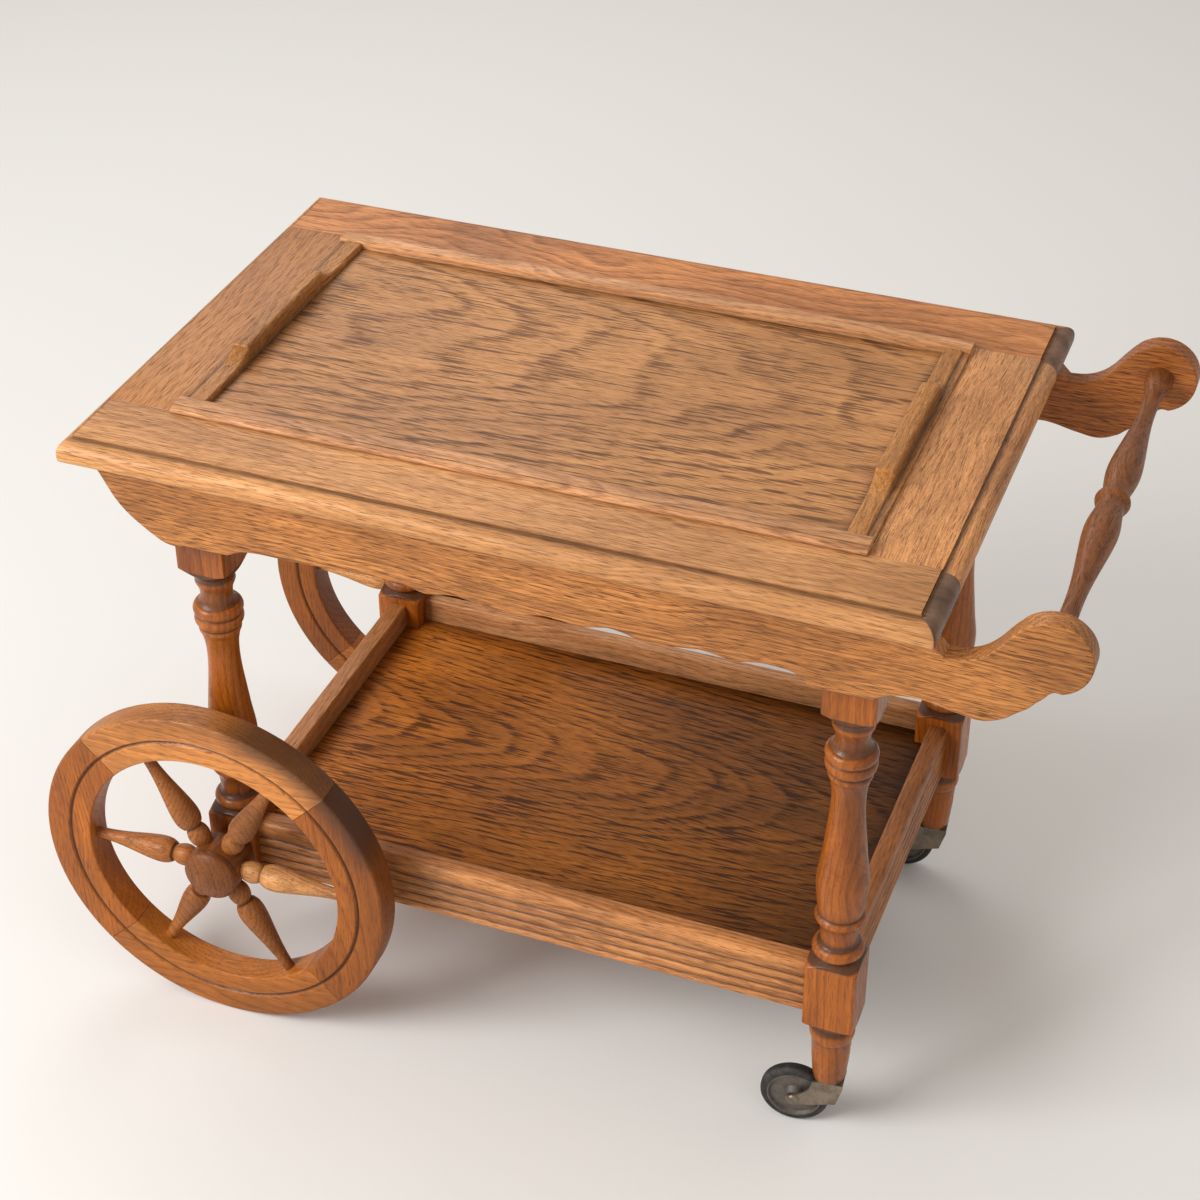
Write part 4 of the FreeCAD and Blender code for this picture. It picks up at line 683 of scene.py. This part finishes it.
def trayHandles():
    # sections (across, up) at each point of the hold's outline (along, top), carried along Y
    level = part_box("top_rail_front")[1].z
    hold, ramp = traySize["hold"] / 2, traySize["ramp"]
    low, gain = level + traySize["low"], traySize["rise"] - traySize["low"]
    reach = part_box("tray_handle_left")[1].y
    path = outline((-hold - ramp, low), shareRuns(rampShares, ramp, gain, (-hold - ramp, low)), 0.0012)
    left = np.concatenate([[[-reach, low]], path])
    crown = np.concatenate([left, [[0, low + gain]], left[::-1] * np.array([-1, 1])])
    for end, node in ((-1, "tray_handle_left"), (1, "tray_handle_right")):
        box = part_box(node)
        lip = box[0].x if end < 0 else box[1].x
        outer = lip - end * traySize["ledge"]
        inner = box[1].x if end < 0 else box[0].x
        ease = traySize["crownEase"]
        foot = level - traySize["plug"]
        turn = np.linspace(0, np.pi / 2, 6)
        ledgeTop = level + traySize["lip"]
        plug = lip - end * traySize["plugInset"]
        rings = []
        for y, top in crown:
            soft = min(ease, (top - level) * 0.4)
            wall = [[plug, foot], [plug, level], [lip, level + 0.0002], [lip, ledgeTop - 0.0008],
                    [lip - end * 0.0008, ledgeTop], [outer + end * 0.0006, ledgeTop],
                    [outer, min(ledgeTop + 0.0006, top - soft)]]
            cosine, sine = soft * np.cos(turn), soft * np.sin(turn)
            outerTurn = np.stack([outer - end * (soft - cosine), top - soft + sine], 1)
            innerTurn = np.stack([inner + end * (soft - sine), top - soft + cosine], 1)
            section = np.concatenate([wall, outerTurn, innerTurn, [[inner, foot]]])
            rings.append(np.insert(section, 1, y, axis=1))
        shadeAndDirt = np.zeros(len(rings[0]))
        # painted shade, partly dirt: darker where the lip meets the top frame, in the corner where the ledge
        # meets the raised part and at the inner foot by the panel
        shadeAndDirt[2] = 0.8
        shadeAndDirt[5:7] = (0.8, 0.5)
        shadeAndDirt[-1] = 0.9
        tube(node, "_grip", np.array(rings), shadeAndDirt, "tray")


# Legs: at each height and angle, the nearer of the square blank's wall and the turned outline.
legSize = {"block": 0.121, "turned": 0.284, "lower": 0.072, "foot": 0.0805, "cornerEase": 0.0011, "sides": 96,
           "outside": 1.45, "fineness": 0.0011, "broadHollow": 0.010, "fineHollow": 0.0032}
turnedShares = [
    [(0.004, 1.12), (0.032, 0.80)],
    [(0.045, 0.765), (0.058, 0.783), (0.074, 0.72), (0.107, 0.625), (0.137, 0.70), (0.148, 0.80)],
    [(0.150, 0.86)], [(0.167, 0.971), (0.188, 0.88)], [(0.213, 0.95), (0.234, 0.79)],
    [(0.248, 0.829), (0.262, 0.76)],
    [(0.300, 0.665), (0.354, 0.629), (0.410, 0.655), (0.468, 0.717), (0.535, 0.80), (0.599, 0.885),
     (0.6725, 0.9875), (0.730, 0.955), (0.785, 0.883), (0.806, 0.85)],
    [(0.812, 0.92)], [(0.824, 0.9625), (0.834, 0.90)],
    [(0.850, 0.80), (0.875, 0.73), (0.908, 0.708), (0.926, 0.73), (0.933, 0.80)],
    [(0.956, 0.9875), (0.978, 0.83)],
    [(0.994, 1.12), (1.012, 1.45)],
]
footShares = [
    [(0.015, 1.12), (0.150, 0.80)], [(0.245, 0.885), (0.335, 0.80)],
    [(0.450, 0.772), (0.600, 0.75), (0.800, 0.70), (0.950, 0.640), (0.985, 0.617)], [(1.0, 0.60)],
]


def legOutline(table, rim, half, top, length):
    runs = [[(half * r, top - length * d) for d, r in run] for run in table]
    return outline((rim, top + 0.012 * length), runs, legSize["fineness"])


def legs():
    # radius at a height and angle: the smaller of the outline's and the square's, half the width
    # over the larger of the angle's cosine and sine
    for node in ("leg_front_left", "leg_front_right", "leg_back_left", "leg_back_right"):
        low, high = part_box(node)
        half = (high.x - low.x) / 2
        middle = ((high.x + low.x) / 2, (high.y + low.y) / 2)
        upper = high.z - legSize["block"]
        lower = upper - legSize["turned"]
        knee = lower - legSize["lower"]
        # a radius outside the square leaves the block as it is
        rim = legSize["outside"] * half
        tall = [np.array([[half * 1.37, high.z], [half * 1.40, high.z - 0.0004], [rim, high.z - 0.0012]]),
                legOutline(turnedShares, rim, half, upper, legSize["turned"])]
        if node.endswith("left"):
            tall.append(np.array([[rim, knee + 0.0015], [half * 1.40, knee + 0.0005], [half * 1.36, knee]]))
        else:
            tall.append(legOutline(footShares, rim, half, knee, legSize["foot"]))
        line = np.concatenate(tall)
        angles = np.linspace(0, 2 * np.pi, legSize["sides"], endpoint=False)
        wall = half / np.maximum(np.abs(np.cos(angles)), np.abs(np.sin(angles)))
        wall = np.minimum(wall, half * math.sqrt(2) - legSize["cornerEase"])
        radius = np.minimum(wall[None, :], line[:, :1])
        rings = np.stack([middle[0] + radius * np.cos(angles), middle[1] + radius * np.sin(angles),
                          np.broadcast_to(line[:, 1:], radius.shape)], -1)
        flat = np.stack([line[:, 1], np.minimum(line[:, 0], half * 1.25)], 1)[::-1]
        # painted shade, partly grime and patina: the turnings' hollows are darkened, from a broad and a fine
        # measure of how sunken each point is
        dark = 2.0 * hollows(flat, legSize["broadHollow"]) + 2.2 * hollows(flat, legSize["fineHollow"])
        dark = np.clip(dark, 0, 0.95)[::-1, None] * np.ones((1, len(angles)))
        tube(node, "_turning", rings, dark, "frame", sharp=38)


# Side boards: the sawn outline across the board's thickness, its edges softened by a bevel.
boardSize = {"depth": 0.078, "endRadius": 0.0335, "dip": 0.019, "soften": 0.0030, "pastCrown": 26,
             "sweepEnd": 70, "fineness": 0.0028}
edgeShares = [
    [(0.012, 0.23), (0.030, 0.58), (0.071, 0.96)],
    [(0.079, 1.00), (0.100, 0.985)], [(0.125, 0.985), (0.148, 0.978)],
    [(0.160, 0.91), (0.173, 0.877), (0.200, 0.866), (0.245, 0.858), (0.309, 0.823), (0.340, 0.84)],
    [(0.351, 0.875), (0.362, 0.897), (0.380, 0.86), (0.396, 0.840)],
    [(0.415, 0.88), (0.430, 0.919), (0.441, 0.925), (0.452, 0.919), (0.467, 0.88), (0.484, 0.842)],
    [(0.500, 0.855), (0.519, 0.874), (0.535, 0.85), (0.548, 0.814)],
    [(0.562, 0.83), (0.578, 0.877), (0.596, 0.889), (0.620, 0.86), (0.640, 0.829)],
    [(0.655, 0.85), (0.674, 0.878), (0.688, 0.85), (0.700, 0.829)],
    [(0.722, 0.835), (0.738, 0.90), (0.744, 0.975)],
    [(0.775, 0.99), (0.806, 0.983)],
    [(0.816, 0.91), (0.828, 0.862), (0.850, 0.837)],
    [(0.862, 0.855), (0.876, 0.892), (0.890, 0.92), (0.904, 0.940), (0.915, 0.915), (0.929, 0.833)],
    [(0.938, 0.74), (0.947, 0.656), (0.953, 0.57)],
]
sweepShares = [(0.9605, 0.478), (0.9675, 0.395)]
armShares = [(0.9385, -0.345), (0.931, -0.262), (0.922, -0.135), (0.912, 0.02), (0.899, 0.155),
             (0.884, 0.228), (0.868, 0.25)]


def sideBoards():
    # the outline in (along, up): scallops, sweep, the arm's round end, its upper edge, the dip under
    # the top; the same loop stands at both faces of the board
    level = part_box("leg_front_left")[1].z
    for node in ("side_board_front", "side_board_back"):
        low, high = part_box(node)
        length, depth, radius = high.x - low.x, boardSize["depth"], boardSize["endRadius"]
        centreX, centreZ = high.x - radius, high.z - radius
        runs = shareRuns(edgeShares + [sweepShares], length, -depth, (low.x, level))
        joins = math.radians(boardSize["sweepEnd"])
        runs[-1].append((centreX + radius * math.cos(joins), centreZ - radius * math.sin(joins)))
        past = math.radians(boardSize["pastCrown"])
        runs.append([(centreX + radius, centreZ),
                     (centreX - radius * math.sin(past), centreZ + radius * math.cos(past))])
        runs += shareRuns([armShares], length, -depth, (low.x, level))
        cove = low.x + length * armShares[-1][0]
        rest = level - depth * armShares[-1][1]
        dip = boardSize["dip"]
        bend = dip * math.sqrt(0.5)
        runs.append([(cove - dip + bend, rest + dip - bend), (cove - dip, level)])
        loop = outline((low.x, level), runs, boardSize["fineness"])
        count = len(loop)
        sides = [np.insert(loop, 1, y, axis=1) for y in (low.y, high.y)]
        faces = gridFaces(2, count)
        faces += [list(range(count))[::-1], [count + i for i in range(count)]]
        piece = meshPiece(node, "_sawn", np.concatenate(sides), faces, np.zeros(count * 2), "frame")
        soften = piece.modifiers.new("soften", "BEVEL")
        soften.width = boardSize["soften"]
        soften.segments = 4
        soften.limit_method = "ANGLE"
        soften.angle_limit = math.radians(65)
        soften.harden_normals = False


# Push bar, turned between the arms.
barPeg = 0.006
barShares = [
    [(0.014, 0.95), (0.034, 0.79)],
    [(0.055, 0.775), (0.092, 0.805), (0.156, 0.915), (0.216, 0.968), (0.322, 0.897), (0.464, 0.71),
     (0.598, 0.555), (0.690, 0.50), (0.772, 0.50), (0.851, 0.516)],
    [(0.890, 0.63), (0.943, 0.775), (0.993, 0.82), (1.0, 0.81)],
]


def pushBar():
    # the half outline (from the middle outwards, radius) mirrored, with a peg in each arm
    low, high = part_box("push_bar")
    span = abs(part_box("side_board_front")[1].y)
    radius = (high.x - low.x) / 2
    half = outline((0, radius), shareRuns(barShares, span, radius), 0.0014)
    line = np.concatenate([half[::-1] * np.array([-1, 1]), half[1:]])
    peg = np.array([[-high.y, 0.0001], [-high.y, barPeg], [-span, barPeg]])
    line = np.concatenate([peg, line, peg[::-1] * np.array([-1, 1])])
    place = ((low.x + high.x) / 2, 0, (low.z + high.z) / 2)
    turned("push_bar", line, place, ((0, -1, 0), (1, 0, 0), (0, 0, 1)), "frame")


# Shelf rails: rounded top, reeds on the outer face.
shelfSize = {"round": 0.0078, "inner": 0.0018, "reedDepth": 0.0030, "reedWidth": 0.0046, "steps": 5,
             "tuck": 0.0005, "endEase": 0.0003}
reedShares = (0.33, 0.51, 0.70, 0.88)


def railLoop(outer, inner, foot, top, reeded):
    # corners (across, up, ease) round the section, and the painted shade, partly grime, at each: it climbs
    # the inner face from the panel, fills the reeds and lies more on each reed's upper, downward-facing wall
    inward = 1 if inner > outer else -1
    corners = [(inner, foot, 0.001), (inner, top, shelfSize["inner"]),
               (outer, top, shelfSize["round" if reeded else "inner"])]
    shadeAndDirt = [0.85, 0.10, 0]
    half = shelfSize["reedWidth"] / 2
    for share in reedShares if reeded else ():
        level = top - (top - foot) * share
        deep = outer + inward * shelfSize["reedDepth"]
        corners += [(outer, level + half, 0.0016), (deep, level, 0.0004), (outer, level - half, 0.0016)]
        shadeAndDirt += [0.35, 0.95, 0.05]
    corners.append((outer, foot, 0.0022))
    steps = shelfSize["steps"]
    return roundedLoop(corners, steps), np.repeat(shadeAndDirt + [0], steps + 1)


def shelfRails():
    # the section carried along X between the legs, or along Y, tucked a little into them
    foot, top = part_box("shelf_rail_front")[0].z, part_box("shelf_rail_front")[1].z
    legHigh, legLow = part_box("leg_front_left")[1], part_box("leg_front_right")[0]
    for node in ("shelf_rail_front", "shelf_rail_back"):
        low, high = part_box(node)
        outer, inner = (low.y, high.y) if node.endswith("front") else (high.y, low.y)
        loop, shadeAndDirt = railLoop(outer, inner, foot, top, True)
        bar(node, "_reeded", loop, "x", legHigh.x - shelfSize["tuck"], legLow.x + shelfSize["tuck"],
            shelfSize["endEase"], shadeAndDirt, "frame")
    reach = abs(legHigh.y) + shelfSize["tuck"]
    for node, reeded in (("shelf_rail_left", False), ("shelf_rail_right", True)):
        low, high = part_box(node)
        outer, inner = (low.x, high.x) if node.endswith("left") else (high.x, low.x)
        loop, shadeAndDirt = railLoop(outer, inner, foot, top, reeded)
        bar(node, "_plain", loop, "y", -reach, reach, shelfSize["endEase"], shadeAndDirt, "frame")


# Spoked wheels: a rim section carried round each quarter, and turned spokes, hub and cap.
wheelSize = {"outer": 0.180, "inner": 0.1324, "half": 0.015, "round": 0.0034, "groove": 0.154,
             "grooveHalf": 0.0025, "grooveDepth": 0.0027, "innerEase": 0.0022, "grooveEase": 0.0007,
             "middle": 0.245, "hub": 0.027, "spokeSwell": 0.013, "capFoot": 0.0170, "capHeight": 0.012,
             "jointEase": 0.0005, "rimSteps": 49, "spokeSides": 40, "hubSides": 72}
# The tread's soiling: strongest this many degrees up from the forward level.
soilSize = {"at": 50, "least": 0.80, "fall": 0.12, "most": 0.9, "deep": 0.004}
spokeShares = [
    [(0.095, 0.83), (0.186, 0.60)], [(0.196, 0.58)], [(0.206, 0.78)],
    [(0.245, 0.92), (0.313, 1.00), (0.408, 0.955), (0.550, 0.785), (0.787, 0.51), (0.958, 0.415),
     (1.0, 0.41)],
]
# The hub's outline along the axle, outwards, and its radius.
hubLine = np.array([
    [-0.026, 0.0062], [-0.026, 0.0205], [-0.0245, 0.022], [-0.020, 0.022], [-0.019, 0.0212], [-0.018, 0.022],
    [-0.0165, 0.0226], [-0.0150, 0.0262], [-0.0138, 0.0270], [-0.012, 0.0270], [0.0115, 0.0270],
    [0.0128, 0.0262], [0.0136, 0.0262], [0.0146, 0.0270], [0.0165, 0.0270], [0.0170, 0.0262],
    [0.0170, 0.0062],
])
capShares = [
    [(0.12, 1.0)],
    [(0.24, 0.985), (0.44, 0.915), (0.62, 0.80), (0.78, 0.63), (0.90, 0.43), (0.97, 0.25), (1.0, 0.02)],
]


def rimLoop():
    # corners (radius, along the axle, ease) round the rim's section, and the darkness at each: painted shade,
    # partly grime, in the grooves, and dirt on the tread
    size = wheelSize
    outer, inner, half, round_ = size["outer"], size["inner"], size["half"], size["round"]
    groove, wide, deep = size["groove"], size["grooveHalf"], size["grooveDepth"]
    corners = [(inner, -half, size["innerEase"])]
    for face in (-1, 1):
        if face > 0:
            corners += [(outer, -half, round_), (outer, half, round_)]
        order = (-1, 0, 1) if face < 0 else (1, 0, -1)
        for step in order:
            across = face * half if step else face * (half - deep)
            corners.append((groove + step * wide, across, size["grooveEase"]))
    corners.append((inner, half, size["innerEase"]))
    shadeAndDirt = [0.0, 0.1, 0.95, 0.1, 0.22, 0.22, 0.1, 0.95, 0.1, 0.0]
    steps = 4
    return roundedLoop(corners, steps), np.repeat(np.array(shadeAndDirt), steps + 1)


def wheels():
    # a rim point is the axle plus (radius times cosine, across, minus radius times sine); the back
    # wheel is the front one turned half round about the vertical
    size = wheelSize
    loop, shadeAndDirt = rimLoop()
    for side, name in ((-1, "front"), (1, "back")):
        body = name + "_wheel"
        low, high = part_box(name + "_hub")
        axle = np.array(((low.x + high.x) / 2, side * size["middle"], (low.z + high.z) / 2))
        flip = np.diag((-side, -side, 1))
        for index in range(4):
            node = f"{name}_felloe_{index + 1}"
            first = math.radians(90 * index - 45)
            bite = size["jointEase"] / size["outer"]
            quarter = np.linspace(0, np.pi / 2, size["rimSteps"])[1:-1]
            angles = np.concatenate([[0, bite], quarter, [np.pi / 2 - bite, np.pi / 2]]) + first
            sections = np.repeat(loop[None], len(angles), 0)
            sections[[0, -1]] = insetLoop(loop, size["jointEase"])
            radius, across = sections[..., 0], sections[..., 1]
            turn = angles[:, None]
            rings = np.stack([radius * np.cos(turn), across, -radius * np.sin(turn)], -1) @ flip.T + axle
            # painted shade from the rim's section, partly grime, with dark joints at the quarters' ends and
            # the tread's soiling
            grime = np.broadcast_to(shadeAndDirt, (len(angles), len(shadeAndDirt))).copy()
            grime[[0, -1]] = np.maximum(grime[[0, -1]], 0.8)
            near = np.cos(angles + math.radians(soilSize["at"])) - soilSize["least"]
            soil = np.clip(near / soilSize["fall"], 0, 1) * soilSize["most"]
            tread = loop[:, 0] > size["outer"] - soilSize["deep"]
            grime = np.maximum(grime, soil[:, None] * tread[None, :])
            tube(node, "_rim", rings, grime, body)
        length = size["inner"] - size["hub"]
        for index in range(6):
            node = f"{name}_spoke_{index + 1}"
            angle = math.radians(60 * index)
            line = outline((size["hub"] * 0.88, size["spokeSwell"] * 0.60),
                           [[(size["hub"], size["spokeSwell"] * 0.63)]]
                           + shareRuns(spokeShares, length, size["spokeSwell"], (size["hub"], 0))
                           + [[(size["inner"] + 0.003, size["spokeSwell"] * 0.40)]], 0.0012)
            spin = flip @ np.array(((math.cos(angle), 0, math.sin(angle)), (0, 1, 0),
                                    (-math.sin(angle), 0, math.cos(angle))))
            turned(node, line, axle, spin, body, size["spokeSides"], 0.0035)
        # hub and cap, turned about the axle; their first axis points away from the trolley
        out = np.array(((0, 1, 0), (side, 0, 0), (0, 0, 1)), float)
        turned(name + "_hub", hubLine, axle, out, body, size["hubSides"], 0.003)
        foot = size["capFoot"]
        capLine = outline((foot, 0.0155), [[(foot, size["hub"])]]
                          + shareRuns(capShares, size["capHeight"], size["hub"], (foot, 0)), 0.0007)
        fineRings = 0.10 + 0.10 * np.cos(capLine[:, 1] * 4200)
        turned(name + "_hub_cap", capLine, axle, out, body, size["hubSides"], dark=fineRings)


def makeFloor():
    half = light["floorHalf"]
    mesh = bpy.data.meshes.new("floor")
    corners = [(-half, -half, 0), (half, -half, 0), (half, half, 0), (-half, half, 0)]
    mesh.from_pydata(corners, [], [(0, 1, 2, 3)])
    floor = bpy.data.objects.new("floor", mesh)
    bpy.context.scene.collection.objects.link(floor)
    make = Shade("floorPaper")
    make.paint({"Base Color": light["floor"], "Roughness": 0.9})
    mesh.materials.append(make.material)


makeCamera()
makeLight()
makeFloor()
makeMaterials()
topRails()
trayStrips()
trayHandles()
print("top and tray done")
legs()
sideBoards()
pushBar()
shelfRails()
print("frame done")
wheels()
print("wheels done")
bpy.context.scene.view_settings.view_transform = "Standard"
